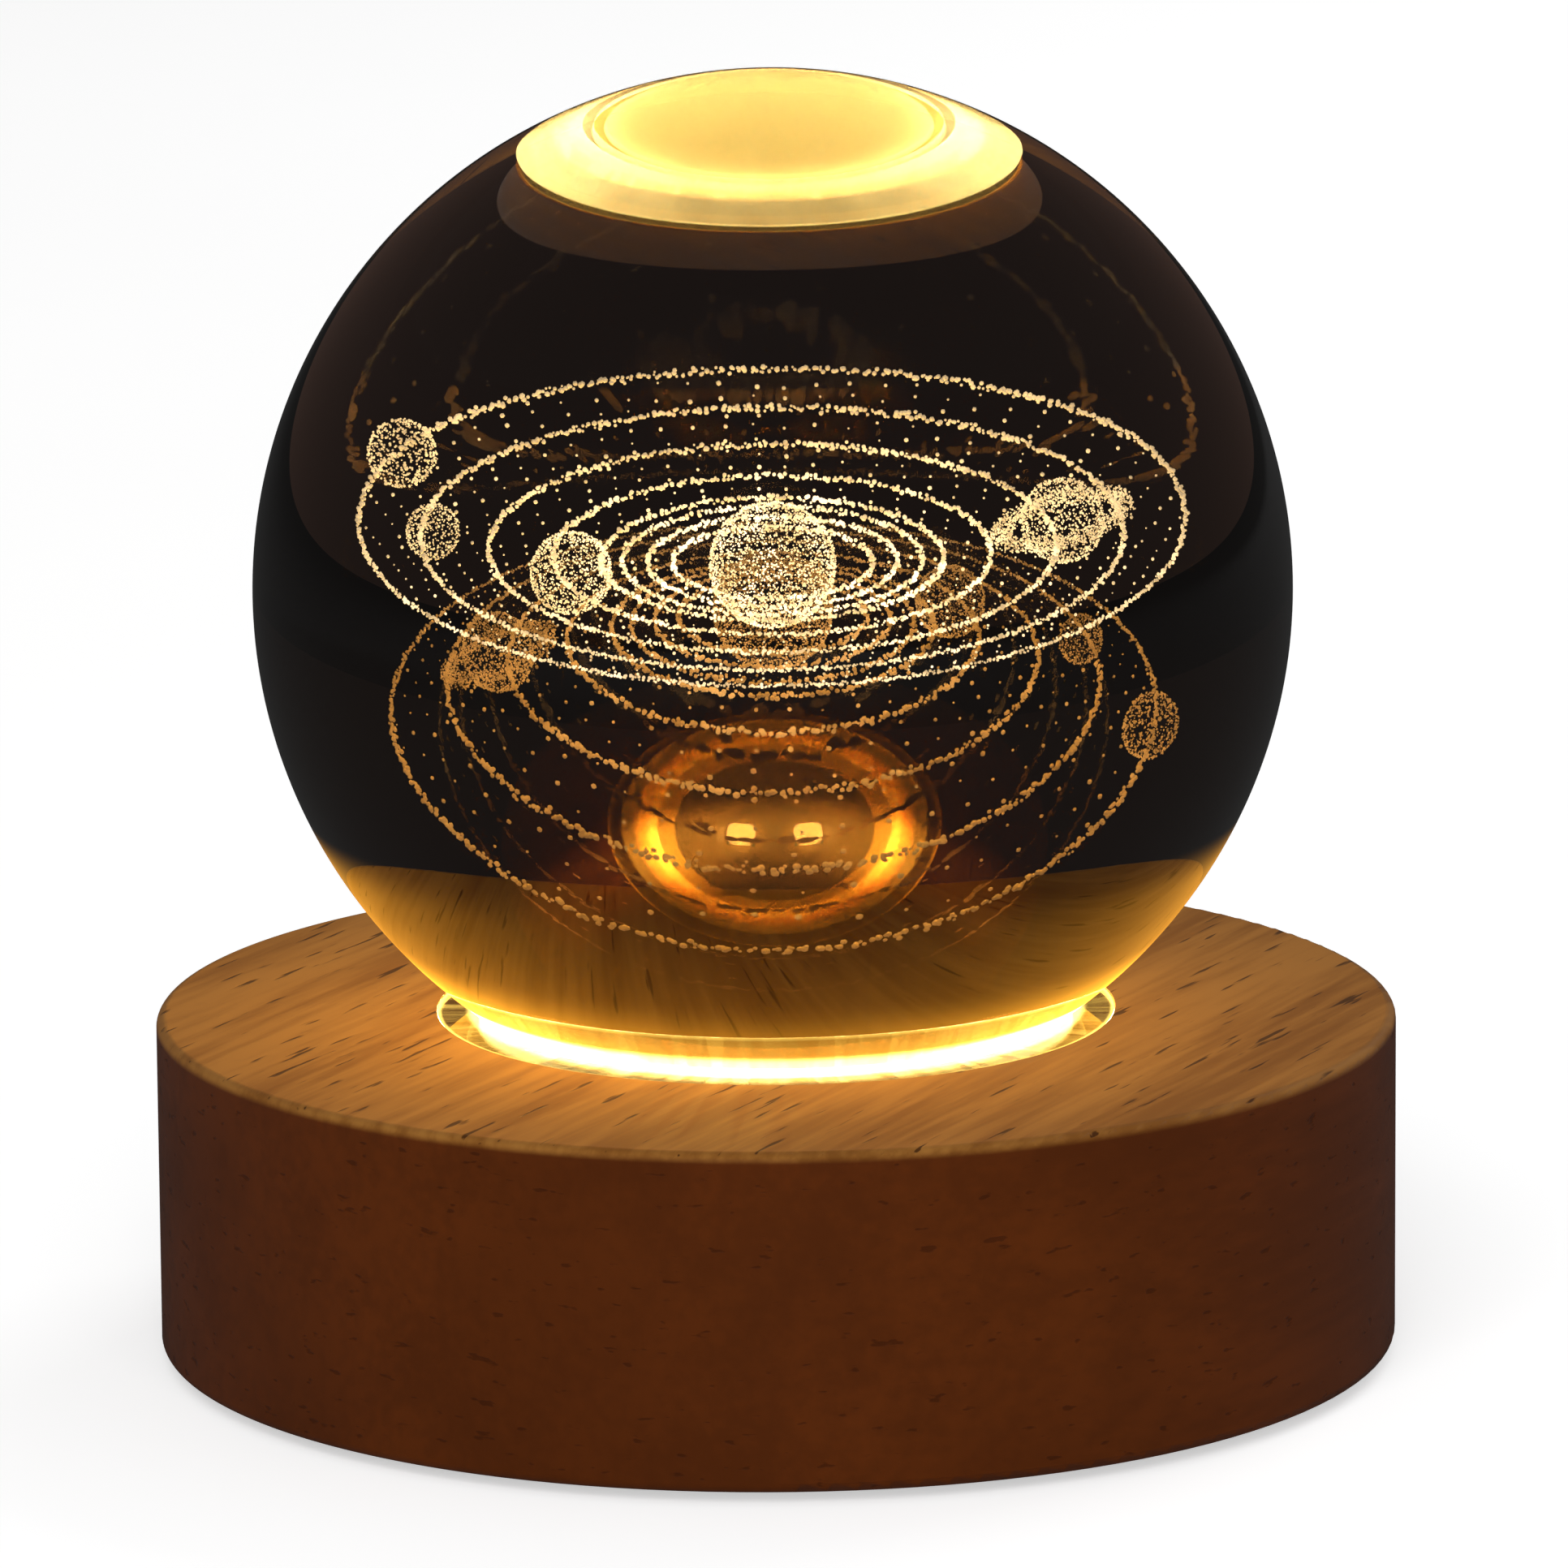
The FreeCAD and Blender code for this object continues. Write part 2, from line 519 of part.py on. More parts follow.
def make_crystal_ball():
    """The glass ball, with room inside for its engraving."""
    blank = primitive("Sphere", "ball_blank", ("0", "0", BALL_CENTRE), Radius=BALL_RADIUS)
    spare = "Sizes.engraving_clearance"
    room = group("engraving_room", orbit_shapes(spare, "orbit_room") + globe_shapes(spare, "globe_room"))
    return cut("crystal_ball", blank, room)


def make_engraved_orbits():
    """The engraved orbits."""
    return group("engraved_orbits", orbit_shapes("0", "orbit"))


def make_engraved_globes():
    """The engraved globes."""
    return group("engraved_globes", globe_shapes("0", "globe"))


def make_seat_ring():
    """The clear ring, hollowed to the ball's curve."""
    height = f"{RING_TOP} - {LEDGE}"
    blank = primitive("Cylinder", "ring_blank", ("0", "0", LEDGE),
                      Radius=f"{SEAT_RADIUS} - Sizes.ring_clearance", Height=height)
    bore = primitive("Cylinder", "ring_bore", ("0", "0", LEDGE),
                     Radius=RING_BORE_RADIUS, Height=height)
    dish = primitive("Sphere", "ring_dish", ("0", "0", BALL_CENTRE),
                     Radius=f"{BALL_RADIUS} + Sizes.seat_gap")
    return cut("seat_ring", cut("ring_bored", blank, bore), dish)


def make_wood_base():
    """The turned base with its recess, light hole, cavity, rear window and pilot holes."""
    body = new_body("wood_base")
    profile = new_sketch(body, "base_profile", "XZ_Plane")
    add_outline(profile, [
        (REBATE_RADIUS, BASE_BOTTOM), (BASE_RADIUS, BASE_BOTTOM), (BASE_RADIUS, BASE_TOP),
        (SEAT_RADIUS, BASE_TOP), (SEAT_RADIUS, LEDGE), (LIGHT_HOLE_RADIUS, LEDGE),
        (LIGHT_HOLE_RADIUS, CEILING), (CAVITY_RADIUS, CEILING), (CAVITY_RADIUS, COVER_TOP),
        (REBATE_RADIUS, COVER_TOP),
    ])
    turned = revolve(body, "base_turned", profile)
    round_rims(body, "base_edges", turned, BASE_RADIUS, [BASE_BOTTOM, BASE_TOP], "Sizes.base_edge_round")
    window_back = f"({INLET_BOARD_BACK} - Sizes.window_side_clearance)"
    window = rear_sketch(body, "window_outline", window_back)
    add_rounded_rectangle(window, "0", WINDOW_MIDDLE, WINDOW_WIDTH, WINDOW_HEIGHT, "Sizes.window_corner")
    extrude(body, "Pocket", "rear_window", window)
    recess = rear_sketch(body, "recess_outline", BEZEL_BACK)
    add_rounded_rectangle(recess, "0", WINDOW_MIDDLE, f"({BEZEL_WIDTH} + 2 * Sizes.bezel_clearance)",
                          f"({BEZEL_HEIGHT} + 2 * Sizes.bezel_clearance)",
                          "(Sizes.bezel_corner + Sizes.bezel_clearance)")
    extrude(body, "Pocket", "rear_recess", recess)
    bezel_pilots = rear_sketch(body, "bezel_pilot_circles", BEZEL_BACK)
    for side in ("-", ""):
        add_circle(bezel_pilots, f"{side}{BEZEL_SCREW_X}", WINDOW_MIDDLE,
                   "(Sizes.bezel_screw_diameter / 2 + Sizes.pilot_clearance)")
    extrude(body, "Pocket", "bezel_pilots", bezel_pilots,
            "Sizes.bezel_screw_length - Sizes.bezel_thickness + Sizes.pilot_spare", reverse=True)
    led_pilot = new_sketch(body, "led_pilot_circle", "XY_Plane", CEILING)
    add_circle(led_pilot, *polar(LED_SCREW_RADIUS, FIRST_LED_SCREW),
               "(Sizes.led_screw_diameter / 2 + Sizes.pilot_clearance)")
    first = extrude(body, "Pocket", "led_pilot", led_pilot,
                    "Sizes.led_screw_length - Sizes.led_board_thickness + Sizes.pilot_spare", reverse=True)
    ring_of(body, "led_pilots", first, "Sizes.led_screw_count")
    cover_pilot = new_sketch(body, "cover_pilot_circle", "XY_Plane", COVER_TOP)
    add_circle(cover_pilot, *polar(COVER_SCREW_RADIUS, FIRST_COVER_SCREW),
               "(Sizes.cover_screw_diameter / 2 + Sizes.pilot_clearance)")
    screw_end = f"({COVER_SCREW_SEAT} + Sizes.cover_screw_length)"
    first = extrude(body, "Pocket", "cover_pilot", cover_pilot,
                    f"{screw_end} - {COVER_TOP} + Sizes.pilot_spare", reverse=True)
    ring_of(body, "cover_pilots", first, "Sizes.cover_screw_count")
    return body


def make_light_cup():
    """The open white cone that stands on the diode board inside the light hole."""
    body = new_body("light_cup")
    flange_top = f"({CEILING} + Sizes.cup_flange)"
    slope = f"(({CUP_MOUTH_RADIUS} - {CUP_BORE_RADIUS}) / ({CUP_TOP} - {CEILING}))"
    neck = f"({CUP_BORE_RADIUS} + Sizes.cup_flange * {slope} + Sizes.cup_wall)"
    profile = new_sketch(body, "cup_profile", "XZ_Plane")
    add_outline(profile, [
        (CUP_BORE_RADIUS, CEILING), (CUP_RADIUS, CEILING), (CUP_RADIUS, flange_top),
        (neck, flange_top), (CUP_RADIUS, CUP_TOP), (CUP_MOUTH_RADIUS, CUP_TOP),
    ])
    revolve(body, "cup_turned", profile)
    return body


def make_led_board():
    """The round board against the ceiling of the cavity."""
    body = new_body("led_board")
    disc = new_sketch(body, "led_board_outline", "XY_Plane", LED_BOARD_BOTTOM)
    add_circle(disc, "0", "0", LED_BOARD_RADIUS)
    extrude(body, "Pad", "led_board_disc", disc, "Sizes.led_board_thickness")
    hole = new_sketch(body, "led_board_hole_circle", "XY_Plane", CEILING)
    add_circle(hole, *polar(LED_SCREW_RADIUS, FIRST_LED_SCREW),
               "(Sizes.led_screw_diameter / 2 + Sizes.screw_clearance)")
    first = extrude(body, "Pocket", "led_board_hole", hole)
    ring_of(body, "led_board_holes", first, "Sizes.led_screw_count")
    return body


def make_led(label, side):
    """One square diode with its round light face."""
    x = f"{side} * Sizes.led_spacing / 2"
    width = "Sizes.led_width"
    case = centred_box(f"{label}_case", x, "0", CEILING, width, width, "Sizes.led_height")
    face = primitive("Cylinder", f"{label}_face",
                     (x, "0", f"{CEILING} + Sizes.led_height - Sizes.phosphor_depth"),
                     Radius="Sizes.phosphor_diameter / 2", Height="Sizes.phosphor_depth")
    return cut(label, case, face)


def make_led_board_screws():
    """Screws that hold the diode board up against the wood."""
    step = FULL_TURN / count("led_screw_count")
    screws = []
    for number in range(count("led_screw_count")):
        x, y = polar(LED_SCREW_RADIUS, FIRST_LED_SCREW + number * step)
        screws.append(screw(f"led_board_screw_{number + 1}", "led", (x, y, LED_BOARD_BOTTOM)))
    return group("led_board_screws", screws)


def make_lead(label, side):
    """A wire that rises from the inlet board, runs inwards and rises to the diode board."""
    x = side * value("Sizes.lead_spacing") / 2
    level, start, end = value(LEAD_LEVEL), value(LEAD_Y), value("Sizes.lead_landing")
    bottom, top = value(INLET_BOARD_TOP), value(LED_BOARD_BOTTOM)
    bend = LEAD_BEND_SHARE * (level - bottom)
    slant = bend * math.cos(math.radians(45))
    at = [FreeCAD.Vector(x, y, z) for y, z in [
        (start, bottom), (start, level - bend), (start - bend + slant, level - bend + slant),
        (start - bend, level), (end + bend, level), (end + bend - slant, level + bend - slant),
        (end, level + bend), (end, top),
    ]]
    path = Part.Wire([
        Part.LineSegment(at[0], at[1]).toShape(), Part.Arc(at[1], at[2], at[3]).toShape(),
        Part.LineSegment(at[3], at[4]).toShape(), Part.Arc(at[4], at[5], at[6]).toShape(),
        Part.LineSegment(at[6], at[7]).toShape(),
    ])
    radius = value("Sizes.lead_diameter") / 2
    section = Part.Wire([Part.Circle(at[0], FreeCAD.Vector(0, 0, 1), radius).toShape()])
    lead = doc.addObject("Part::Feature", label)
    lead.Shape = path.makePipeShell([section], True, False)
    expected = math.pi * radius ** 2 * path.Length
    print(f"{label}: volume {lead.Shape.Volume:.3f}, section times length {expected:.3f}, bend {bend:.2f}")
    return lead


def make_inlet_board():
    """The board behind the rear window."""
    body = new_body("inlet_board")
    outline = new_sketch(body, "inlet_board_outline", "XY_Plane", INLET_BOARD_BOTTOM)
    half = "(Sizes.inlet_board_width / 2)"
    add_outline(outline, [
        (f"-{half}", INLET_BOARD_BACK), (half, INLET_BOARD_BACK),
        (half, SWITCH_FRONT), (f"-{half}", SWITCH_FRONT),
    ])
    hole_radius = "(Sizes.inlet_screw_diameter / 2 + Sizes.screw_clearance)"
    for side in ("-", ""):
        add_circle(outline, f"{side}{BOSS_X}", BOSS_Y, hole_radius)
    extrude(body, "Pad", "inlet_board_plate", outline, "Sizes.inlet_board_thickness")
    return body


def make_inlet_board_screws():
    """Screws that hold the inlet board down on the cover's bosses."""
    screws = []
    for name, side in (("left", "-"), ("right", "")):
        at = (f"{side}{BOSS_X}", BOSS_Y, INLET_BOARD_TOP)
        screws.append(screw(f"inlet_board_screw_{name}", "inlet", at, 180))
    return group("inlet_board_screws", screws)


def make_current_resistor():
    """The resistor in series with the diodes."""
    return centred_box("current_resistor", "-Sizes.usb_offset", f"{SWITCH_BACK}", INLET_BOARD_TOP,
                       "Sizes.resistor_length", "Sizes.resistor_width", "Sizes.resistor_height")


def make_usb_shell():
    """The power socket's metal sleeve, flush with the inlet plate."""
    body = new_body("usb_shell")
    outline = rear_sketch(body, "usb_shell_outline", USB_BACK)
    x = "-Sizes.usb_offset"
    add_rounded_rectangle(outline, x, USB_AXIS, "Sizes.usb_width", "Sizes.usb_height", "Sizes.usb_corner")
    add_rounded_rectangle(outline, x, USB_AXIS, "(Sizes.usb_width - 2 * Sizes.usb_wall)",
                          "(Sizes.usb_height - 2 * Sizes.usb_wall)", "(Sizes.usb_corner - Sizes.usb_wall)")
    extrude(body, "Pad", "usb_sleeve", outline, "Sizes.usb_depth", reverse=True)
    return body


def make_usb_core():
    """The power socket's plastic back and its tongue."""
    body = new_body("usb_core")
    x = "-Sizes.usb_offset"
    inset = "(Sizes.usb_wall + Sizes.usb_fit)"
    back = rear_sketch(body, "usb_back_outline", USB_BACK)
    add_rounded_rectangle(back, x, USB_AXIS, f"(Sizes.usb_width - 2 * {inset})",
                          f"(Sizes.usb_height - 2 * {inset})", f"(Sizes.usb_corner - {inset})")
    extrude(body, "Pad", "usb_back", back, "Sizes.core_back", reverse=True)
    tongue = rear_sketch(body, "usb_tongue_outline", USB_BACK)
    half_width, half_height = "Sizes.tongue_width / 2", "Sizes.tongue_height / 2"
    left, right = f"{x} - {half_width}", f"{x} + {half_width}"
    low, high = f"{USB_AXIS} - {half_height}", f"{USB_AXIS} + {half_height}"
    add_outline(tongue, [(left, low), (right, low), (right, high), (left, high)])
    extrude(body, "Pad", "usb_tongue", tongue, "Sizes.usb_depth - Sizes.tongue_setback", reverse=True)
    return body


def make_switch_housing():
    """The switch's case with the bore for the button's stem and spring."""
    x = "Sizes.button_offset"
    case = primitive("Box", "switch_case", (f"{x} - Sizes.switch_width / 2", SWITCH_BACK, INLET_BOARD_TOP),
                     Length="Sizes.switch_width", Width="Sizes.switch_depth", Height="Sizes.switch_height")
    bore = doc.addObject("Part::Cylinder", "switch_bore")
    bore.setExpression("Radius", "Sizes.stem_diameter / 2 + Sizes.stem_clearance")
    bore.setExpression("Height", STEM_BORE_DEPTH)
    turn_about_x(bore, 90)
    place(bore, x, SWITCH_FRONT, USB_AXIS)
    return cut("switch_housing", case, bore)


def make_push_button():
    """The button's cap, collar and stem, turned about its own axis and laid along Y."""
    body = new_body("push_button")
    stem, collar, cap = "Sizes.stem_diameter / 2", "Sizes.collar_diameter / 2", "Sizes.button_diameter / 2"
    collar_top = "Sizes.collar_thickness"
    cap_top = f"({BEZEL_FRONT} + Sizes.button_proud - {COLLAR_BACK})"
    profile = new_sketch(body, "button_profile", "XZ_Plane")
    add_outline(profile, [
        ("0", f"-{STEM_LENGTH}"), (stem, f"-{STEM_LENGTH}"), (stem, "0"), (collar, "0"), (collar, collar_top),
        (cap, collar_top), (cap, cap_top), ("0", cap_top),
    ])
    turned = revolve(body, "button_turned", profile)
    round_rims(body, "button_edge", turned, cap, [cap_top], "Sizes.button_edge_round")
    turn_about_x(body, -90)
    place(body, "Sizes.button_offset", COLLAR_BACK, USB_AXIS)
    return body


def make_button_spring():
    """The spring behind the stem, a round wire swept along a helix."""
    wire = "Sizes.spring_wire"
    coil = doc.addObject("Part::Helix", "spring_path")
    coil.setExpression("Pitch", f"(Sizes.spring_length - {wire}) / Sizes.spring_turns")
    coil.setExpression("Height", f"Sizes.spring_length - {wire}")
    coil.setExpression("Radius", "Sizes.spring_diameter / 2")
    section = doc.addObject("Part::Circle", "spring_section")
    section.setExpression("Radius", f"{wire} / 2")
    turn_about_x(section, 90)
    place(section, "Sizes.spring_diameter / 2")
    spring = doc.addObject("Part::Sweep", "button_spring")
    spring.Sections = [section]
    spring.Spine = coil
    spring.Solid = True
    spring.Frenet = True
    turn_about_x(spring, -90)
    place(spring, "Sizes.button_offset",
          f"{SWITCH_FRONT} - {STEM_BORE_DEPTH} + Sizes.spring_end_gap + {wire} / 2", USB_AXIS)
    return spring


def make_inlet_bezel():
    """The plate in the rear recess with the socket's slot, the button's hole and its screw holes."""
    body = new_body("inlet_bezel")
    outline = rear_sketch(body, "bezel_outline", BEZEL_BACK)
    add_rounded_rectangle(outline, "0", WINDOW_MIDDLE, BEZEL_WIDTH, BEZEL_HEIGHT, "Sizes.bezel_corner")
    add_rounded_rectangle(outline, "-Sizes.usb_offset", USB_AXIS,
                          "(Sizes.usb_width + 2 * Sizes.usb_slot_clearance)",
                          "(Sizes.usb_height + 2 * Sizes.usb_slot_clearance)",
                          "(Sizes.usb_corner + Sizes.usb_slot_clearance)")
    add_circle(outline, "Sizes.button_offset", USB_AXIS,
               "(Sizes.button_diameter / 2 + Sizes.button_clearance)")
    for side in ("-", ""):
        add_circle(outline, f"{side}{BEZEL_SCREW_X}", WINDOW_MIDDLE,
                   "(Sizes.bezel_screw_diameter / 2 + Sizes.screw_clearance)")
    extrude(body, "Pad", "bezel_plate", outline, "Sizes.bezel_thickness", reverse=True)
    return body


def make_bezel_screws():
    """Screws that hold the inlet plate to the wood."""
    screws = []
    for name, side in (("left", "-"), ("right", "")):
        at = (f"{side}{BEZEL_SCREW_X}", BEZEL_FRONT, WINDOW_MIDDLE)
        screws.append(screw(f"bezel_screw_{name}", "bezel", at, 90))
    return group("bezel_screws", screws)


def make_bottom_cover():
    """The disc that closes the cavity, with bosses, foot sockets and sunk screw holes."""
    body = new_body("bottom_cover")
    disc = new_sketch(body, "cover_outline", "XY_Plane", BASE_BOTTOM)
    add_circle(disc, "0", "0", f"({REBATE_RADIUS} - Sizes.cover_clearance)")
    extrude(body, "Pad", "cover_disc", disc, "Sizes.cover_thickness")
    bosses = new_sketch(body, "boss_circles", "XY_Plane", COVER_TOP)
    pilots = new_sketch(body, "boss_pilot_circles", "XY_Plane", INLET_BOARD_BOTTOM)
    pilot_radius = "(Sizes.inlet_screw_diameter / 2 + Sizes.pilot_clearance)"
    for side in ("-", ""):
        add_circle(bosses, f"{side}{BOSS_X}", BOSS_Y, "(Sizes.boss_diameter / 2)")
        add_circle(pilots, f"{side}{BOSS_X}", BOSS_Y, pilot_radius)
    extrude(body, "Pad", "bosses", bosses, f"{INLET_BOARD_BOTTOM} - {COVER_TOP}")
    extrude(body, "Pocket", "boss_pilots", pilots,
            "Sizes.inlet_screw_length - Sizes.inlet_board_thickness + Sizes.pilot_spare")
    socket = new_sketch(body, "foot_socket_circle", "XY_Plane", BASE_BOTTOM)
    add_circle(socket, FEET_RADIUS, "0", "(Sizes.foot_diameter / 2 + Sizes.foot_clearance)")
    first = extrude(body, "Pocket", "foot_socket", socket, "Sizes.foot_socket_depth", reverse=True)
    ring_of(body, "foot_sockets", first, str(len(FEET)))
    middle = polar(COVER_SCREW_RADIUS, FIRST_COVER_SCREW)
    sink = new_sketch(body, "cover_screw_sink_circle", "XY_Plane", BASE_BOTTOM)
    add_circle(sink, *middle, "(Sizes.cover_screw_head_diameter / 2 + Sizes.head_recess_clearance)")
    first = extrude(body, "Pocket", "cover_screw_sink", sink, COVER_SCREW_SINK, reverse=True)
    ring_of(body, "cover_screw_sinks", first, "Sizes.cover_screw_count")
    hole = new_sketch(body, "cover_screw_hole_circle", "XY_Plane", COVER_TOP)
    add_circle(hole, *middle, "(Sizes.cover_screw_diameter / 2 + Sizes.screw_clearance)")
    first = extrude(body, "Pocket", "cover_screw_hole", hole, "Sizes.cover_thickness")
    ring_of(body, "cover_screw_holes", first, "Sizes.cover_screw_count")
    return body


def make_cover_screws():
    """Screws that hold the cover to the wood, sunk in their recesses."""
    step = FULL_TURN / count("cover_screw_count")
    screws = []
    for number in range(count("cover_screw_count")):
        x, y = polar(COVER_SCREW_RADIUS, FIRST_COVER_SCREW + number * step)
        screws.append(screw(f"cover_screw_{number + 1}", "cover", (x, y, COVER_SCREW_SEAT)))
    return group("cover_screws", screws)


# The feet in the order in which they stand about the axis, from +X
FEET = ("foot_right", "foot_rear", "foot_left", "foot_front")


def make_foot(label):
    """One rubber foot, bevelled where it meets the table."""
    degrees = FEET.index(label) * FULL_TURN / len(FEET)
    body = new_body(label)
    radius, bevel = "Sizes.foot_diameter / 2", "Sizes.foot_bevel"
    height = "Sizes.foot_proud + Sizes.foot_socket_depth"
    profile = new_sketch(body, f"{label}_profile", "XZ_Plane")
    add_outline(profile, [
        ("0", "0"), (f"{radius} - {bevel}", "0"), (radius, bevel), (radius, height), ("0", height),
    ])
    revolve(body, f"{label}_turned", profile)
    place(body, *polar(FEET_RADIUS, degrees))
    return body


pieces = [
    make_crystal_ball(), make_engraved_orbits(), make_engraved_globes(),
    make_seat_ring(), make_wood_base(), make_light_cup(), make_led_board(),
    make_led("led_left", -1), make_led("led_right", 1), make_led_board_screws(),
    make_lead("positive_lead", -1), make_lead("negative_lead", 1),
    make_inlet_board(), make_inlet_board_screws(), make_current_resistor(),
    make_usb_shell(), make_usb_core(), make_switch_housing(), make_push_button(), make_button_spring(),
    make_inlet_bezel(), make_bezel_screws(), make_bottom_cover(), make_cover_screws(),
]
pieces += [make_foot(label) for label in FEET]
doc.recompute()

failed = [thing.Label for thing in doc.Objects if {"Invalid", "Error"} & set(thing.State)]
if failed:
    raise RuntimeError(f"not rebuilt: {failed}")
for piece in pieces:
    shape = piece.Shape
    if shape.isNull() or not shape.isValid() or not shape.Solids:
        raise RuntimeError(f"{piece.Label} has no valid solid")

os.makedirs("parts", exist_ok=True)
for piece in pieces:
    piece.Shape.exportStep(f"parts/{piece.Label}.step")
    print(f"{piece.Label}: {len(piece.Shape.Solids)} solid(s), {piece.Shape.Volume:.1f} cubic mm")
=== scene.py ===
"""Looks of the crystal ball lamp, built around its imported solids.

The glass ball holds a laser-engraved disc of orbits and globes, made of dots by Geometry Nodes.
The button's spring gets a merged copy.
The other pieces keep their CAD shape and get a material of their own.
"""

import json
import math

import bmesh
import bpy
from bpy.props import FloatProperty, FloatVectorProperty, IntProperty, PointerProperty
from mathutils import Matrix, Quaternion, Vector

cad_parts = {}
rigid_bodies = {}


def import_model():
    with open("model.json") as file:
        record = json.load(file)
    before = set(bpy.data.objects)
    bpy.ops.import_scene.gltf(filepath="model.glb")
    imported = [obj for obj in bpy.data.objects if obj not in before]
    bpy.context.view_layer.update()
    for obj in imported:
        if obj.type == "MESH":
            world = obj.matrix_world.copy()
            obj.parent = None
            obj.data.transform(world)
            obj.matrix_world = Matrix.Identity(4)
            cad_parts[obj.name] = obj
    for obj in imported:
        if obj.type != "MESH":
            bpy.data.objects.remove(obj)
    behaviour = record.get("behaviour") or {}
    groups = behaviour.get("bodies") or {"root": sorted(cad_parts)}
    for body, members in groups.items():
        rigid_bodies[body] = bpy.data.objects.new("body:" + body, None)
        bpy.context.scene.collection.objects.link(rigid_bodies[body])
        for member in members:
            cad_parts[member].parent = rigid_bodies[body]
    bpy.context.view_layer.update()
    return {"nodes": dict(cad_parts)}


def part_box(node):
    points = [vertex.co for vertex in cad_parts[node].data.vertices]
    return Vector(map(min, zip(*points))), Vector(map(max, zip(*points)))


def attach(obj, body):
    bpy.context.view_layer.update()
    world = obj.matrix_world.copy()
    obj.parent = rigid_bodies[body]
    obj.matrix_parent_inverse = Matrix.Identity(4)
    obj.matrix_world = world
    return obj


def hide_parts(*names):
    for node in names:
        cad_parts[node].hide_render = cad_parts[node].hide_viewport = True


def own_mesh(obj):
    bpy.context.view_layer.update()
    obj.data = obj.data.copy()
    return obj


bl_info = {
    "name": "Crystal Ball Lamp",
    "version": (1, 0, 0),
    "blender": (4, 5, 0),
    "location": "View3D > Sidebar > Ball Lamp",
    "description": "Makes the ball, its engraving, the lit seat, the wooden base and a plain stage",
    "category": "Object",
}

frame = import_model()
BALL_LOW, BALL_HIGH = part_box("crystal_ball")
RING_LOW, RING_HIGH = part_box("seat_ring")
WOOD_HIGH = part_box("wood_base")[1]
CUP_LOW, CUP_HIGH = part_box("light_cup")
DIODE_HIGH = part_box("led_left")[1]
BALL_RADIUS = (BALL_HIGH.z - BALL_LOW.z) / 2
BALL_CENTRE_Z = (BALL_HIGH.z + BALL_LOW.z) / 2
MM = 0.001
WHITE = (1.0, 1.0, 1.0, 1.0)


def number_property(name, description, default, subtype="NONE"):
    """A number without a length."""
    return FloatProperty(name=name, description=description, default=default, subtype=subtype)


def share_property(name, description, default):
    """A number from none to all."""
    return number_property(name, description, default, "FACTOR")


def angle_property(name, description, degrees):
    """An angle, given in degrees."""
    return number_property(name, description, math.radians(degrees), "ANGLE")


def colour_property(name, description, default):
    """A colour swatch in linear light."""
    return FloatVectorProperty(
        name=name, description=description, default=default, size=3, subtype="COLOR", min=0.0, max=1.0
    )


def length_property(name, description, default):
    """A length in metres, shown in the scene's unit."""
    return FloatProperty(name=name, description=description, default=default, unit="LENGTH", precision=5)


class BallSettings(bpy.types.PropertyGroup):
    """Sizes and gloss of the glass ball."""

    radius: length_property("Radius", "Radius of the glass ball", BALL_RADIUS)
    centre_height: length_property("Centre height", "Height of the ball's centre", BALL_CENTRE_Z)
    ior: number_property("Refraction", "Refractive index of the glass", 1.52)
    shine: number_property("Shine", "Refractive index that sets the outer face's extra gloss", 1.9)
    foot_mirror: share_property("Foot mirror", "Share of light that the inner face throws back low", 0.45)
    waist_mirror: share_property("Waist mirror", "Share of light thrown back half way up", 0.04)
    diode_mirror: share_property("Diode mirror", "Share of light thrown back near the top", 0.3)
    foot_tint: colour_property("Foot tint", "Tint of what is thrown back low down", (0.85, 0.55, 0.22))
    crown_tint: colour_property("Crown tint", "Tint of what is thrown back at the top", (1.0, 0.5, 0.05))
    diode_tint: colour_property("Diode tint", "Tint where the top throws back the diodes", (1.0, 0.68, 0.28))
    divisions: IntProperty(
        name="Divisions",
        description="Faces along each edge of the cube that is blown up to a ball",
        default=72,
    )


class EngravingSettings(bpy.types.PropertyGroup):
    """The dotted picture inside the ball."""

    orbits: FloatVectorProperty(
        name="Orbits",
        description="Radius of each dotted orbit",
        default=[r * MM for r in (21.8, 18.4, 14.8, 11.4, 8.9, 7.8, 6.5, 5.2)],
        size=8,
        unit="LENGTH",
    )
    centre: FloatVectorProperty(
        name="Centre",
        description="Middle of the engraved disc",
        default=(0.0, -1.85 * MM, 61.6 * MM),
        size=3,
        subtype="TRANSLATION",
    )
    tilt: angle_property("Tilt", "How far the disc's back edge is raised", 8.9)
    orbit_dot: length_property("Orbit dot", "Radius of a dot on an orbit", 0.095 * MM)
    orbit_step: length_property("Orbit step", "Distance between dots on an orbit", 0.11 * MM)
    orbit_spread: length_property("Orbit spread", "How far a dot strays from its orbit", 0.12 * MM)
    field_dot: length_property("Field dot", "Radius of a dot between the orbits", 0.085 * MM)
    field_step: length_property("Field step", "Distance between the dots between the orbits", 1.25 * MM)
    globe_dot: length_property("Globe dot", "Radius of a dot on a globe", 0.05 * MM)
    globe_density: number_property("Globe density", "Dots on a square millimetre of a globe", 22.0)
    seed: IntProperty(name="Seed", description="Seed of all random places", default=7)
    colour: colour_property("Colour", "Colour of the lit dots", (1.0, 0.66, 0.27))
    glow: number_property("Glow", "Brightness of the lit dots", 1.35)


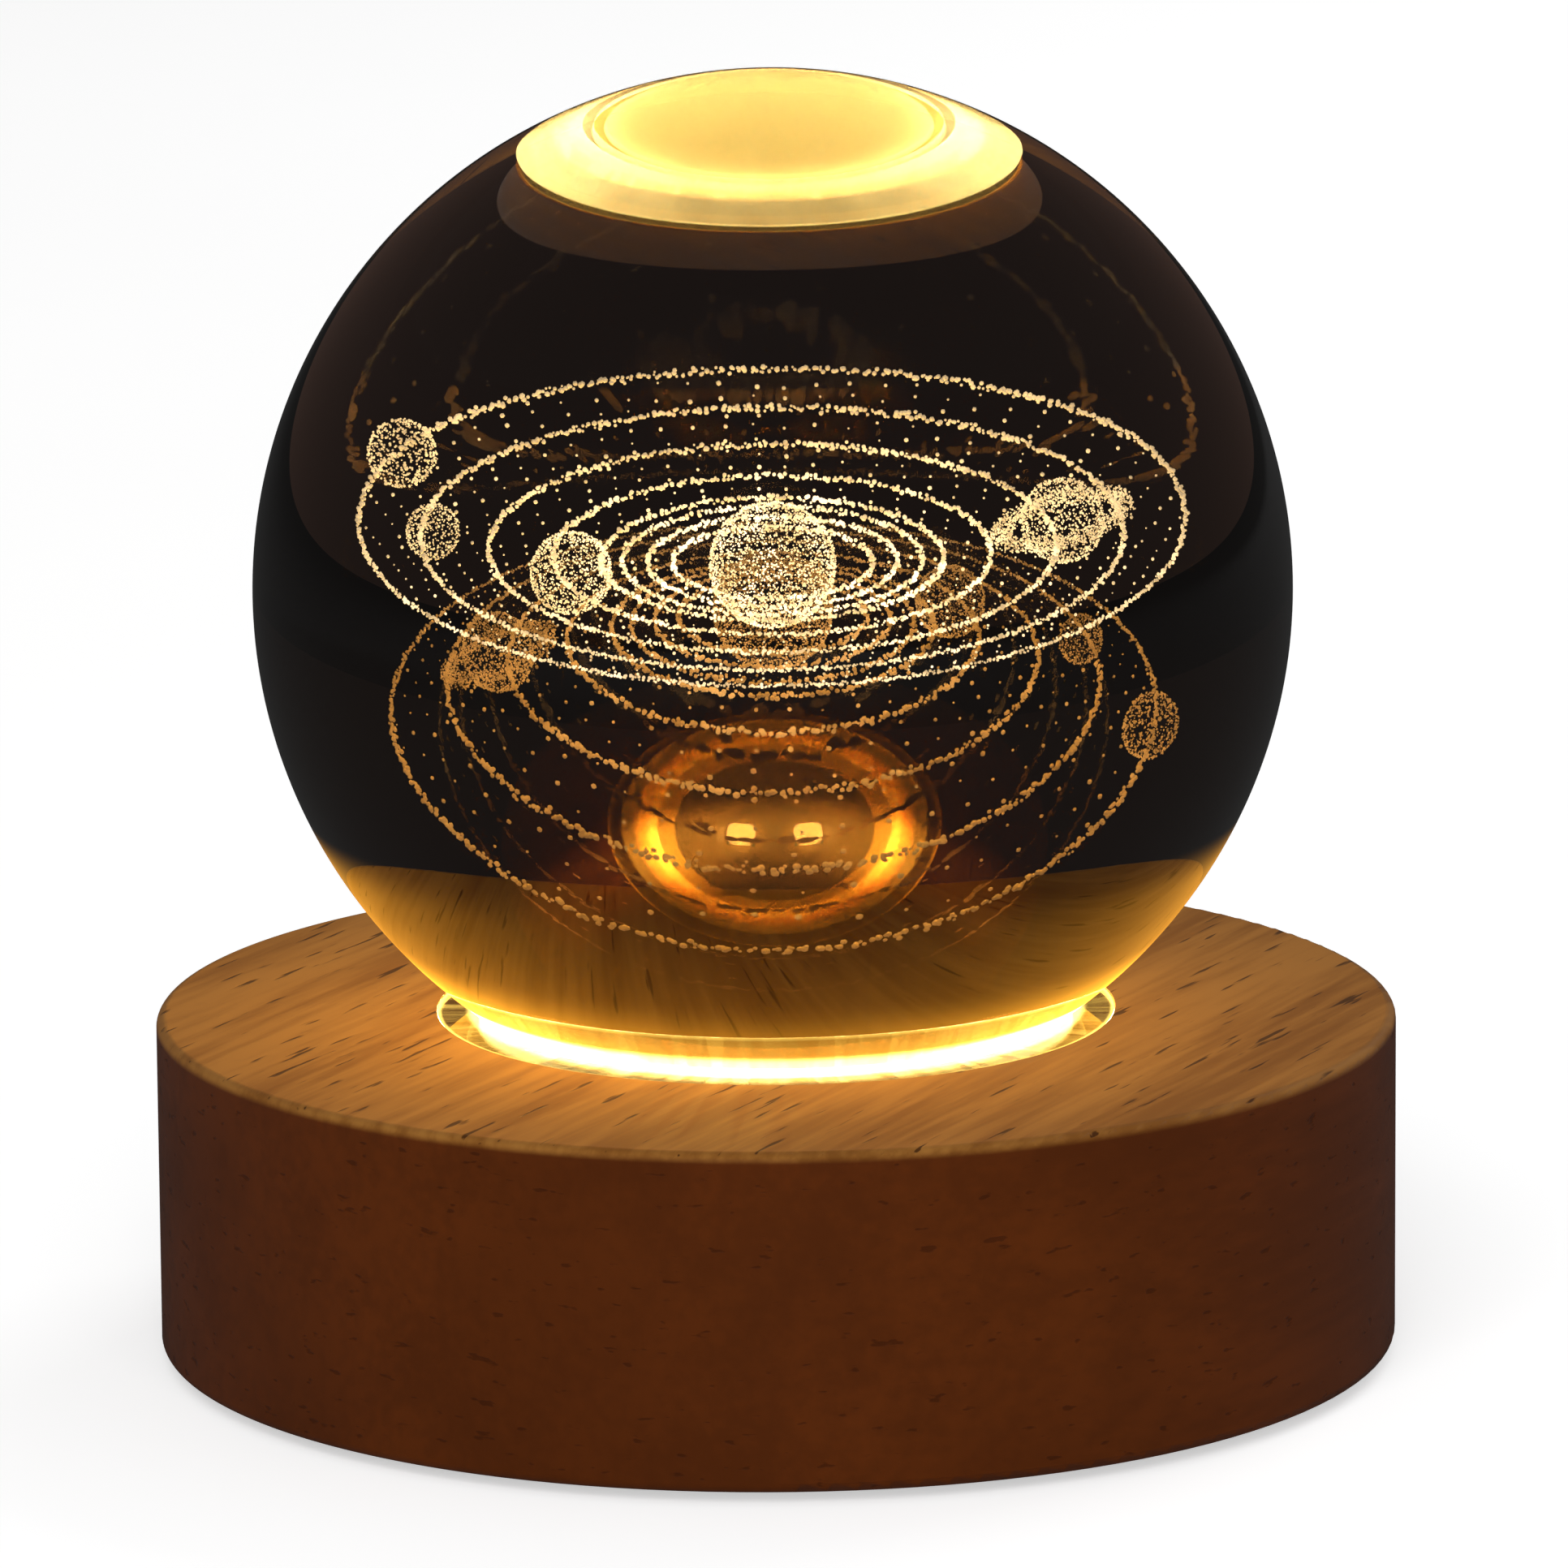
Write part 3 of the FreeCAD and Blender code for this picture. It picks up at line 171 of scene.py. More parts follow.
class WoodSettings(bpy.types.PropertyGroup):
    """Colours of the turned base, with painted light on its top face and painted shade on its side."""

    # Painted light: the top's colours are the wood as the diodes light it, paler and warmer than the side.
    top: colour_property("Top", "Colour of the lit top face", (0.37, 0.158, 0.032))
    lit_top_grain: colour_property("Top grain", "Colour of the darker grain of the top face", (0.23, 0.085, 0.015))
    # Painted shade: the side's colours are the same wood darkened as if it stood in shade.
    side: colour_property("Side", "Colour of the turned side", (0.108, 0.024, 0.0036))
    shaded_side_grain: colour_property("Side grain", "Colour of the darker grain of the side", (0.066, 0.0155, 0.003))
    pore: colour_property("Pores", "Colour of the short open pores", (0.03, 0.007, 0.002))
    grain_angle: angle_property("Grain angle", "Direction of the grain, from the lamp's right", 63.0)


class GlowSettings(bpy.types.PropertyGroup):
    """The warm light from the base."""

    colour: colour_property("Colour", "Colour of the diodes' light", (1.0, 0.7, 0.13))
    diode: number_property("Diodes", "Brightness of the diodes' yellow faces", 16.0)
    cup: number_property("Cup", "Brightness of the cup's lower wall and the board", 1.2)
    cup_wall: number_property("Upper cup", "Brightness of the cup's wall below its rim", 8.0)
    ring: number_property("Ring", "Brightness of the seat's lit inner edge", 14.6)
    ring_colour: colour_property("Ring colour", "Colour of the seat's lit inner edge", (1.0, 0.78, 0.28))
    rim: number_property("Rim", "Brightness of the seat's lit outer edge", 1.6)
    under: number_property("Underside", "Brightness of the seat's lit underside", 0.9)
    straight: share_property("Straight share", "Share of a lit face's brightness that shows unmirrored", 0.12)
    foot: number_property("Foot", "Brightness of the light that leaves the ball's foot", 1.15)
    foot_colour: colour_property("Foot colour", "Colour of the light at the ball's foot", (1.0, 0.42, 0.025))
    spill: number_property("Spill", "Power of the light thrown on the wood", 0.085, "POWER")


class StageSettings(bpy.types.PropertyGroup):
    """Floor, lamps and camera."""

    floor: colour_property("Floor", "Colour of the floor", (0.92, 0.92, 0.92))
    floor_lift: number_property("Floor lift", "White that the camera sees on top of the floor", 0.53)
    light: number_property("Light", "Brightness of the even studio light", 0.25)
    mirrored: number_property("Mirrored room", "Brightness of the room that polished faces mirror", 0.05)
    seen_through: number_property("Room through glass", "Brightness of the room seen through the ball", 0.006)
    room: colour_property("Room", "Colour of the dark room in mirrors and glass", (1.0, 0.62, 0.5))
    camera_distance: length_property("Camera distance", "From the camera to the top face's middle", 0.9337)
    camera_height: angle_property("Camera height", "Camera's angle above the top face", 13.14)
    camera_roll: angle_property("Camera roll", "Camera's turn about its line of sight", 0.45)
    camera_lens: number_property("Lens", "Focal length in millimetres", 276.5)


class LampSettings(bpy.types.PropertyGroup):
    """All settings of the lamp."""

    ball: PointerProperty(type=BallSettings)
    engraving: PointerProperty(type=EngravingSettings)
    wood: PointerProperty(type=WoodSettings)
    glow: PointerProperty(type=GlowSettings)
    stage: PointerProperty(type=StageSettings)


def settings():
    """The scene's lamp settings."""
    return bpy.context.scene.ball_lamp


def fill(tree, node, inputs):
    """Fills each named or numbered input of a node with a value or a link."""
    for key, value in inputs.items():
        if isinstance(value, bpy.types.NodeSocket):
            tree.links.new(value, node.inputs[key])
        else:
            node.inputs[key].default_value = value


def put(tree, kind, inputs=None, **options):
    """Adds a node, sets its options and fills its inputs."""
    node = tree.nodes.new(kind)
    for option, value in options.items():
        setattr(node, option, value)
    fill(tree, node, inputs or {})
    return node


def maths(tree, operation, first, second=0.0, clamp=False):
    """Output of a Math node."""
    return put(tree, "ShaderNodeMath", {0: first, 1: second}, operation=operation, use_clamp=clamp).outputs[0]


def product(tree, first, *others):
    """Product of several numbers."""
    for other in others:
        first = maths(tree, "MULTIPLY", first, other)
    return first


def vectors(tree, operation, first, second=(0.0, 0.0, 0.0)):
    """Output of a Vector Math node: a number for a distance or length, and otherwise a vector."""
    made = put(tree, "ShaderNodeVectorMath", {0: first, 1: second}, operation=operation)
    return made.outputs["Value" if operation in ("DISTANCE", "LENGTH") else "Vector"]


def blend_values(tree, factor, first, second):
    """Output of a number mix."""
    return put(tree, "ShaderNodeMix", {0: factor, 2: first, 3: second}, data_type="FLOAT").outputs[0]


def blend_colours(tree, factor, first, second):
    """Output of a colour mix."""
    return put(tree, "ShaderNodeMix", {0: factor, 6: first, 7: second}, data_type="RGBA").outputs[2]


def span(tree, value, low, high, to_low=0.0, to_high=1.0, soft=True):
    """Value between low and high, brought to another range."""
    kind = "SMOOTHSTEP" if soft else "LINEAR"
    inputs = {"Value": value, "From Min": low, "From Max": high, "To Min": to_low, "To Max": to_high}
    return put(tree, "ShaderNodeMapRange", inputs, interpolation_type=kind).outputs[0]


def rgba(colour):
    """A colour with full alpha."""
    return (*colour, 1.0)


def new_material(name):
    """An empty node material with a Principled shader: the material, its tree and the shader."""
    material = bpy.data.materials.new(name)
    material.use_nodes = True
    tree = material.node_tree
    tree.nodes.clear()
    shader = tree.nodes.new("ShaderNodeBsdfPrincipled")
    put(tree, "ShaderNodeOutputMaterial", {"Surface": shader.outputs[0]})
    return material, tree, shader


def object_place(tree):
    """Object coordinates and their three parts."""
    place = put(tree, "ShaderNodeTexCoord").outputs["Object"]
    return place, put(tree, "ShaderNodeSeparateXYZ", {0: place}).outputs


def noise(tree, place, scale, detail=3.0, roughness=0.5):
    """Value of a noise texture."""
    inputs = {"Vector": place, "Scale": scale, "Detail": detail, "Roughness": roughness}
    return put(tree, "ShaderNodeTexNoise", inputs).outputs[0]


def stretched_noise(tree, place, stretch, detail=3.0, roughness=0.5):
    """Value of a noise texture with its own scale along each axis."""
    stretched = put(tree, "ShaderNodeMapping", {"Vector": place, "Scale": stretch}).outputs[0]
    return noise(tree, stretched, 1.0, detail, roughness)


def relief(tree, shader, height, distance, strength=1.0):
    """Lets height roughen the shader's surface."""
    bump = put(tree, "ShaderNodeBump", {"Height": height, "Distance": distance, "Strength": strength})
    tree.links.new(bump.outputs[0], shader.inputs["Normal"])


# How many times wider than its grain the clouds in moulded plastic are.
MOULDED_CLOUDS = 12
# Waves to the metre in the tool marks on metal, along them and across them.
MARKS_ALONG = 260.0
MARKS_ACROSS = 4200.0


def moulded(name, colour, roughness, grain=900.0, depth=0.02 * MM):
    """Moulded plastic or rubber with a fine grain and uneven sheen."""
    material, tree, shader = new_material(name)
    place, _ = object_place(tree)
    fine = noise(tree, place, grain)
    wide = noise(tree, place, grain / MOULDED_CLOUDS)
    paler = [min(1.0, part * 1.5 + 0.006) for part in colour]
    fill(tree, shader, {
        "Base Color": blend_colours(tree, span(tree, wide, 0.3, 0.7), rgba(colour), rgba(paler)),
        "Roughness": span(tree, wide, 0.3, 0.7, roughness - 0.06, roughness + 0.08),
    })
    relief(tree, shader, fine, depth)
    return material


def machined(name, colour, roughness, axis=2):
    """Bright metal with fine tool marks round one axis."""
    material, tree, shader = new_material(name)
    place, _ = object_place(tree)
    stretch = [MARKS_ALONG] * 3
    stretch[axis] = MARKS_ACROSS
    marks = stretched_noise(tree, place, stretch)
    darker = [part * 0.72 for part in colour]
    fill(tree, shader, {
        "Base Color": blend_colours(tree, span(tree, marks, 0.3, 0.75), rgba(darker), rgba(colour)),
        "Roughness": span(tree, marks, 0.3, 0.7, roughness - 0.07, roughness + 0.1),
        "Metallic": 1.0,
    })
    relief(tree, shader, marks, 0.006 * MM)
    return material


def dress(material, *nodes):
    """Gives CAD nodes a material in place of the plain one they came with."""
    for name in nodes:
        piece = frame["nodes"][name]
        if not piece.material_slots:
            piece.data.materials.append(material)
        for held in piece.material_slots:
            held.material = material


def new_piece(name, mesh, body, replaced=()):
    """Links a mesh as a piece that rides on a body."""
    piece = bpy.data.objects.new(name, mesh)
    bpy.context.scene.collection.objects.link(piece)
    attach(piece, body)
    if replaced:
        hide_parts(*replaced)
    return piece


def let_light_by(piece):
    """Keeps a piece from shading or tinting what stands round it."""
    piece.visible_shadow = False
    piece.visible_diffuse = False


# Heights on the ball over its centre, in radii. A band starts, is full, begins to fade and ends.
FOOT_BAND = (-0.44, -0.42, -0.28, -0.1)
WAIST_BAND = (-0.18, -0.12, 0.03, 0.08)
DIODE_BAND = (0.75, 0.82, 0.845, 0.92)
CROWN_START = (0.5, 0.58)
LOW_GLOW = (-0.52, -0.42)
LOWEST_GLOW = (-0.8, -0.64)
# Brightness of the two glows at the ball's foot, and how fast they fade from its outline inwards.
LOW_GLOW_LEVEL = 0.65
LOWEST_GLOW_LEVEL = 3.0
OUTLINE_POWER = 3.5
# The least share of the foot's glow that the outer gloss lets by.
LEAST_PASSED = 0.03


def band(tree, height, places, level=1.0):
    """A level that holds between two heights and fades out past them."""
    start, full, fading, end = places
    return product(tree, span(tree, height, start, full), span(tree, height, fading, end, level, 0.0))


def foot_glow(tree, height, inside, gloss):
    """Strength of the light that leaves the outer face near the foot, made up for the gloss over it."""
    facing = put(tree, "ShaderNodeLayerWeight", {"Blend": 0.5}).outputs["Facing"]
    outline = maths(tree, "POWER", facing, OUTLINE_POWER)
    low = span(tree, height, *LOW_GLOW, LOW_GLOW_LEVEL, 0.0)
    lowest = span(tree, height, *LOWEST_GLOW, LOWEST_GLOW_LEVEL, 0.0)
    outside = maths(tree, "SUBTRACT", 1.0, inside)
    leaving = product(tree, maths(tree, "ADD", low, lowest), outline, settings().glow.foot, outside)
    passed_on = maths(tree, "MAXIMUM", maths(tree, "SUBTRACT", 1.0, gloss), LEAST_PASSED)
    return maths(tree, "DIVIDE", leaving, passed_on)


def crystal_material():
    """Clear polished glass, whose inner face mirrors the lit base and the engraving more than plain glass."""
    ball = settings().ball
    material, tree, shader = new_material("polished crystal")
    inside = put(tree, "ShaderNodeNewGeometry").outputs["Backfacing"]
    gloss = put(tree, "ShaderNodeFresnel", {"IOR": ball.shine}).outputs[0]
    _, parts = object_place(tree)
    above = maths(tree, "SUBTRACT", parts["Z"], ball.centre_height)
    height = maths(tree, "DIVIDE", above, ball.radius)
    foot = band(tree, height, FOOT_BAND, ball.foot_mirror)
    waist = band(tree, height, WAIST_BAND, ball.waist_mirror)
    diodes = band(tree, height, DIODE_BAND)
    top = product(tree, diodes, ball.diode_mirror)
    thrown_back = maths(tree, "ADD", maths(tree, "ADD", foot, waist), top)
    crown = span(tree, height, *CROWN_START)
    crown_tint = blend_colours(tree, diodes, rgba(ball.crown_tint), rgba(ball.diode_tint))
    inner_tint = blend_colours(tree, crown, rgba(ball.foot_tint), crown_tint)
    fill(tree, shader, {
        "Base Color": WHITE,
        "Roughness": 0.0,
        "IOR": ball.ior,
        "Transmission Weight": 1.0,
        "Specular Tint": blend_colours(tree, product(tree, inside, crown), WHITE, crown_tint),
        "Emission Strength": foot_glow(tree, height, inside, gloss),
        "Emission Color": rgba(settings().glow.foot_colour),
    })
    tint = blend_colours(tree, inside, WHITE, inner_tint)
    mirror = put(tree, "ShaderNodeBsdfAnisotropic", {"Color": tint, "Roughness": 0.0}).outputs[0]
    share = blend_values(tree, inside, gloss, thrown_back)
    both = put(tree, "ShaderNodeMixShader", {0: share, 1: shader.outputs[0], 2: mirror}).outputs[0]
    tree.links.new(both, tree.nodes["Material Output"].inputs["Surface"])
    return material


def ball_mesh():
    """A cube of even faces blown up to a ball, so that no pole shows in the glass."""
    ball = settings().ball
    shell = bmesh.new()
    bmesh.ops.create_cube(shell, size=2.0)
    bmesh.ops.subdivide_edges(shell, edges=shell.edges[:], cuts=ball.divisions - 1, use_grid_fill=True)
    centre = Vector((0.0, 0.0, ball.centre_height))
    for vertex in shell.verts:
        even = Vector([math.tan(part * math.pi / 4) for part in vertex.co])
        vertex.co = centre + even.normalized() * ball.radius
    for face in shell.faces:
        face.smooth = True
    bmesh.ops.recalc_face_normals(shell, faces=shell.faces[:])
    mesh = bpy.data.meshes.new("crystal_ball_glass")
    shell.to_mesh(mesh)
    shell.free()
    mesh.materials.append(crystal_material())
    return mesh


class LAMP_OT_ball(bpy.types.Operator):
    """Make the glass ball"""

    bl_idname = "ball_lamp.ball"
    bl_label = "Glass ball"

    def execute(self, context):
        piece = new_piece("ball_glass", ball_mesh(), "ball", ["crystal_ball"])
        keep_lamps_off(piece)
        let_light_by(piece)
        return {"FINISHED"}


# Waves to the metre in the small and the wide unevenness of the dots' light.
DOT_PATCHES = 700.0
DOT_CLOUDS = 90.0


def engraving_material():
    """Tiny cracks in the glass, lit gold from below."""
    engraving = settings().engraving
    reach = engraving.orbits[0]
    middle = engraving.centre[1]
    material, tree, shader = new_material("engraved dots")
    place, parts = object_place(tree)
    patches = span(tree, noise(tree, place, DOT_PATCHES, 2.0), 0.25, 0.75)
    bright = product(tree, patches, span(tree, noise(tree, place, DOT_CLOUDS, 2.0), 0.35, 0.65, 0.55, 1.1))
    away = vectors(tree, "DISTANCE", place, engraving.centre)
    near = span(tree, away, 0.15 * reach, reach, 1.0, 0.0)
    front = span(tree, parts["Y"], middle - reach, middle + reach, 1.0, 0.0, False)
    paler = [0.3 + 0.7 * part for part in engraving.colour]
    pale_share = product(tree, bright, maths(tree, "MAXIMUM", near, front))
    uneven_level = span(tree, bright, 0.0, 1.0, 0.3, 1.5, False)
    near_level = span(tree, near, 0.0, 1.0, 0.75, 1.25)
    front_level = span(tree, front, 0.0, 1.0, 0.6, 1.35, False)
    fill(tree, shader, {
        "Base Color": (0.4, 0.3, 0.18, 1.0),
        "Roughness": 0.6,
        "Emission Color": blend_colours(tree, pale_share, rgba(engraving.colour), rgba(paler)),
        "Emission Strength": product(tree, uneven_level, near_level, front_level, engraving.glow),
    })
    return material


# Smallest and largest share of its radius that a dot has, the turn of a dot and the step to a second seed.
DOT_LEAST = 0.55
DOT_MOST = 1.35
DOT_TURN = 6.28
SECOND_SEED = 5.0
# How far a dot between the orbits strays, as a share of the step between these dots.
FIELD_STRAY = 0.12


def dot_tree(name, sizes):
    """A Geometry Nodes tree with named inputs: the tree, its input node's sockets and its output node."""
    tree = bpy.data.node_groups.new(name, "GeometryNodeTree")
    face = tree.interface
    face.new_socket("Geometry", in_out="INPUT", socket_type="NodeSocketGeometry")
    for size in sizes:
        face.new_socket(size, in_out="INPUT", socket_type="NodeSocketFloat")
    face.new_socket("Seed", in_out="INPUT", socket_type="NodeSocketInt")
    face.new_socket("Material", in_out="INPUT", socket_type="NodeSocketMaterial")
    face.new_socket("Geometry", in_out="OUTPUT", socket_type="NodeSocketGeometry")
    tree.is_modifier = True
    return tree, put(tree, "NodeGroupInput").outputs, put(tree, "NodeGroupOutput")


def end_in_dots(tree, given, out, points, spread):
    """Strews points a little, sets a low-faced dot on each and ends the tree."""
    seed = given["Seed"]
    limits = {0: vectors(tree, "MULTIPLY", spread, (-1.0, -1.0, -1.0)), 1: spread, "Seed": seed}
    stray = put(tree, "FunctionNodeRandomValue", limits, data_type="FLOAT_VECTOR").outputs[0]
    strewn = put(tree, "GeometryNodeSetPosition", {"Geometry": points, "Offset": stray}).outputs[0]
    low_faced = {"Radius": given["Dot radius"], "Subdivisions": 1}
    dot = put(tree, "GeometryNodeMeshIcoSphere", low_faced).outputs[0]
    limits = {2: DOT_LEAST, 3: DOT_MOST, "Seed": maths(tree, "ADD", seed, SECOND_SEED)}
    grow = put(tree, "FunctionNodeRandomValue", limits, data_type="FLOAT").outputs[1]
    limits = {0: (0.0, 0.0, 0.0), 1: (DOT_TURN, DOT_TURN, DOT_TURN)}
    turn = put(tree, "FunctionNodeRandomValue", limits, data_type="FLOAT_VECTOR").outputs[0]
    inputs = {"Points": strewn, "Instance": dot, "Scale": grow, "Rotation": turn}
    dots = put(tree, "GeometryNodeInstanceOnPoints", inputs).outputs[0]
    whole = put(tree, "GeometryNodeRealizeInstances", {0: dots}).outputs[0]
    inputs = {"Geometry": whole, "Material": given["Material"]}
    painted = put(tree, "GeometryNodeSetMaterial", inputs).outputs[0]
    tree.links.new(painted, out.inputs[0])
    return tree


def orbit_tree():
    """Dots along a circle round each given point, of the radius that the point holds."""
    tree, given, out = dot_tree("dotted orbits", ("Dot radius", "Step", "Spread"))
    circle = put(tree, "GeometryNodeCurvePrimitiveCircle", {"Resolution": 96, "Radius": 1.0}).outputs[0]
    held = put(tree, "GeometryNodeInputNamedAttribute", {"Name": "orbit_radius"}, data_type="FLOAT")
    inputs = {"Points": given[0], "Instance": circle, "Scale": held.outputs[0]}
    rings = put(tree, "GeometryNodeInstanceOnPoints", inputs).outputs[0]
    curves = put(tree, "GeometryNodeRealizeInstances", {0: rings}).outputs[0]
    points = put(tree, "GeometryNodeCurveToPoints", {"Curve": curves, "Length": given["Step"]}, mode="LENGTH")
    return end_in_dots(tree, given, out, points.outputs[0], given["Spread"])


def field_tree():
    """Dots on a square lattice between an inner and an outer radius."""
    tree, given, out = dot_tree("dotted field", ("Dot radius", "Step", "Spread", "Inner", "Outer"))
    width = maths(tree, "MULTIPLY", given["Outer"], 2.0)
    count = maths(tree, "DIVIDE", width, given["Step"])
    inputs = {"Size X": width, "Size Y": width, "Vertices X": count, "Vertices Y": count}
    lattice = put(tree, "GeometryNodeMeshGrid", inputs).outputs[0]
    away = vectors(tree, "LENGTH", put(tree, "GeometryNodeInputPosition").outputs[0])
    beyond = put(tree, "FunctionNodeCompare", {0: away, 1: given["Outer"]}, operation="GREATER_THAN")
    within = put(tree, "FunctionNodeCompare", {0: away, 1: given["Inner"]}, operation="LESS_THAN")
    either = {0: beyond.outputs[0], 1: within.outputs[0]}
    unwanted = put(tree, "FunctionNodeBooleanMath", either, operation="OR").outputs[0]
    kept = put(tree, "GeometryNodeDeleteGeometry", {"Geometry": lattice, "Selection": unwanted}).outputs[0]
    points = put(tree, "GeometryNodeMeshToPoints", {"Mesh": kept}).outputs[0]
    return end_in_dots(tree, given, out, points, given["Spread"])


def globe_tree():
    """Dots strewn over given faces."""
    tree, given, out = dot_tree("dotted globes", ("Dot radius", "Density", "Spread"))
    inputs = {"Mesh": given[0], "Density": given["Density"], "Seed": given["Seed"]}
    points = put(tree, "GeometryNodeDistributePointsOnFaces", inputs, distribute_method="RANDOM").outputs[0]
    return end_in_dots(tree, given, out, points, given["Spread"])


def grow_dots(name, seed_mesh, tree, values, material, replaced=()):
    """Runs a dot tree on a mesh and makes the result a plain piece of the engraving."""
    engraving = settings().engraving
    maker = bpy.data.objects.new(name, seed_mesh)
    bpy.context.scene.collection.objects.link(maker)
    nodes = maker.modifiers.new("dots", "NODES")
    nodes.node_group = tree
    values = {**values, "Seed": engraving.seed, "Material": material}
    for item in tree.interface.items_tree:
        if item.in_out == "INPUT" and item.name in values:
            nodes[item.identifier] = values[item.name]
    bpy.context.view_layer.update()
    evaluated = maker.evaluated_get(bpy.context.evaluated_depsgraph_get())
    mesh = bpy.data.meshes.new_from_object(evaluated)
    mesh.name = name
    maker.modifiers.remove(nodes)
    bpy.data.objects.remove(maker)
    mesh.transform(Matrix.Translation(engraving.centre) @ Matrix.Rotation(engraving.tilt, 4, "X"))
    let_light_by(new_piece(name, mesh, "ball", replaced))


def orbit_points():
    """One point for each orbit, which holds that orbit's radius."""
    orbits = settings().engraving.orbits
    mesh = bpy.data.meshes.new("orbit_points")
    mesh.from_pydata([(0.0, 0.0, 0.0)] * len(orbits), [], [])
    mesh.attributes.new("orbit_radius", "FLOAT", "POINT").data.foreach_set("value", list(orbits))
    return mesh


# Each globe's distance from the middle in millimetres, its direction in degrees from the right, and
# its radius in millimetres.
GLOBES = {
    "sun": (0.0, 0.0, 3.3),
    "giant": (10.7, 185.0, 2.2),
    "ringed": (15.5, 22.3, 2.1),
    "inner pale": (17.8, 163.3, 1.4),
    "outer pale": (21.6, 139.0, 1.5),
}
# The ring that one globe wears: its two radii and the heights of its layers in millimetres, and its tilt.
GLOBE_RING = (2.6, 3.7)
GLOBE_RING_LAYERS = (-0.2, 0.0, 0.2)
GLOBE_RING_TILT = math.radians(-10.0)


def globe_place(name):
    """Where a globe stands on the disc."""
    distance, direction, _ = GLOBES[name]
    return Matrix.Rotation(math.radians(direction), 4, "Z") @ Vector((distance * MM, 0.0, 0.0))


def globe_faces():
    """The globes and the flat ring that one of them wears."""
    faces = bmesh.new()
    for name, (_, _, radius) in GLOBES.items():
        place = Matrix.Translation(globe_place(name))
        bmesh.ops.create_icosphere(faces, subdivisions=3, radius=radius * MM, matrix=place)
    ringed = Matrix.Translation(globe_place("ringed")) @ Matrix.Rotation(GLOBE_RING_TILT, 4, "Y")
    for rise in GLOBE_RING_LAYERS:
        place = ringed @ Matrix.Translation((0.0, 0.0, rise * MM))
        edges = []
        for radius in GLOBE_RING:
            made = bmesh.ops.create_circle(faces, segments=48, radius=radius * MM, matrix=place)
            edges += [edge for vertex in made["verts"] for edge in vertex.link_edges]
        bmesh.ops.bridge_loops(faces, edges=list(set(edges)))
    mesh = bpy.data.meshes.new("globe_faces")
    faces.to_mesh(mesh)
    faces.free()
    return mesh


class LAMP_OT_engraving(bpy.types.Operator):
    """Make the dotted orbits, field and globes inside the ball"""

    bl_idname = "ball_lamp.engraving"
    bl_label = "Engraving"

    def execute(self, context):
        engraving = settings().engraving
        material = engraving_material()
        orbit_values = {
            "Dot radius": engraving.orbit_dot,
            "Step": engraving.orbit_step,
            "Spread": engraving.orbit_spread,
        }
        grow_dots("orbit_dots", orbit_points(), orbit_tree(), orbit_values, material, ["engraved_orbits"])
        field_values = {
            "Dot radius": engraving.field_dot,
            "Step": engraving.field_step,
            "Spread": engraving.field_step * FIELD_STRAY,
            "Inner": engraving.orbits[-1],
            "Outer": engraving.orbits[0],
        }
        grow_dots("field_dots", bpy.data.meshes.new("field_seed"), field_tree(), field_values, material)
        globe_values = {
            "Dot radius": engraving.globe_dot,
            "Density": engraving.globe_density / MM**2,
            "Spread": engraving.globe_dot,
        }
        grow_dots("globe_dots", globe_faces(), globe_tree(), globe_values, material, ["engraved_globes"])
        return {"FINISHED"}


def axis_distance(tree, place):
    """Distance from the lamp's upright axis."""
    return vectors(tree, "LENGTH", vectors(tree, "MULTIPLY", place, (1.0, 1.0, 0.0)))


def seen_straight(tree, strength):
    """Tones a lit face down where no mirror image shows it, so that it isn't blown out from above."""
    mirrors = put(tree, "ShaderNodeLightPath").outputs["Glossy Depth"]
    straight = maths(tree, "LESS_THAN", mirrors, 0.5)
    return product(tree, strength, span(tree, straight, 0.0, 1.0, 1.0, settings().glow.straight, False))


# Colour of the wood's dark grain where the diodes light it, and its brightness out under the ring.
LIT_GRAIN = (1.0, 0.42, 0.07, 1.0)
UNDER_RING_LEVEL = 0.45
# Waves to the metre in the wood's layers: along the grain and across it, or along each axis.
BROAD_GRAIN = (14.0, 110.0, 110.0)
FINE_GRAIN = (60.0, 900.0, 900.0)
PORE_GRAIN = (130.0, 1500.0, 1500.0)
SIDE_FLECKS = (480.0, 480.0, 1500.0)
SIDE_CLOUDS = 45.0


def light_seat(tree, shader, place, height, grain):
    """Lets the wood glow where the diodes shine on it: in the light hole and under the clear ring."""
    glow = settings().glow
    away = axis_distance(tree, place)
    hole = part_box("light_cup")[1].x
    under_ring = span(tree, away, RING_HIGH.x + 0.05 * MM, RING_HIGH.x + 0.12 * MM, 1.0, 0.0)
    in_web = span(tree, height, CUP_LOW.z + 0.1 * MM, CUP_LOW.z + 0.4 * MM)
    fading = span(tree, away, hole + 0.4 * MM, hole + 2.6 * MM, glow.ring, UNDER_RING_LEVEL)
    fill(tree, shader, {
        "Emission Color": blend_colours(tree, grain, LIT_GRAIN, rgba(glow.colour)),
        "Emission Strength": seen_straight(tree, product(tree, under_ring, in_web, fading)),
    })


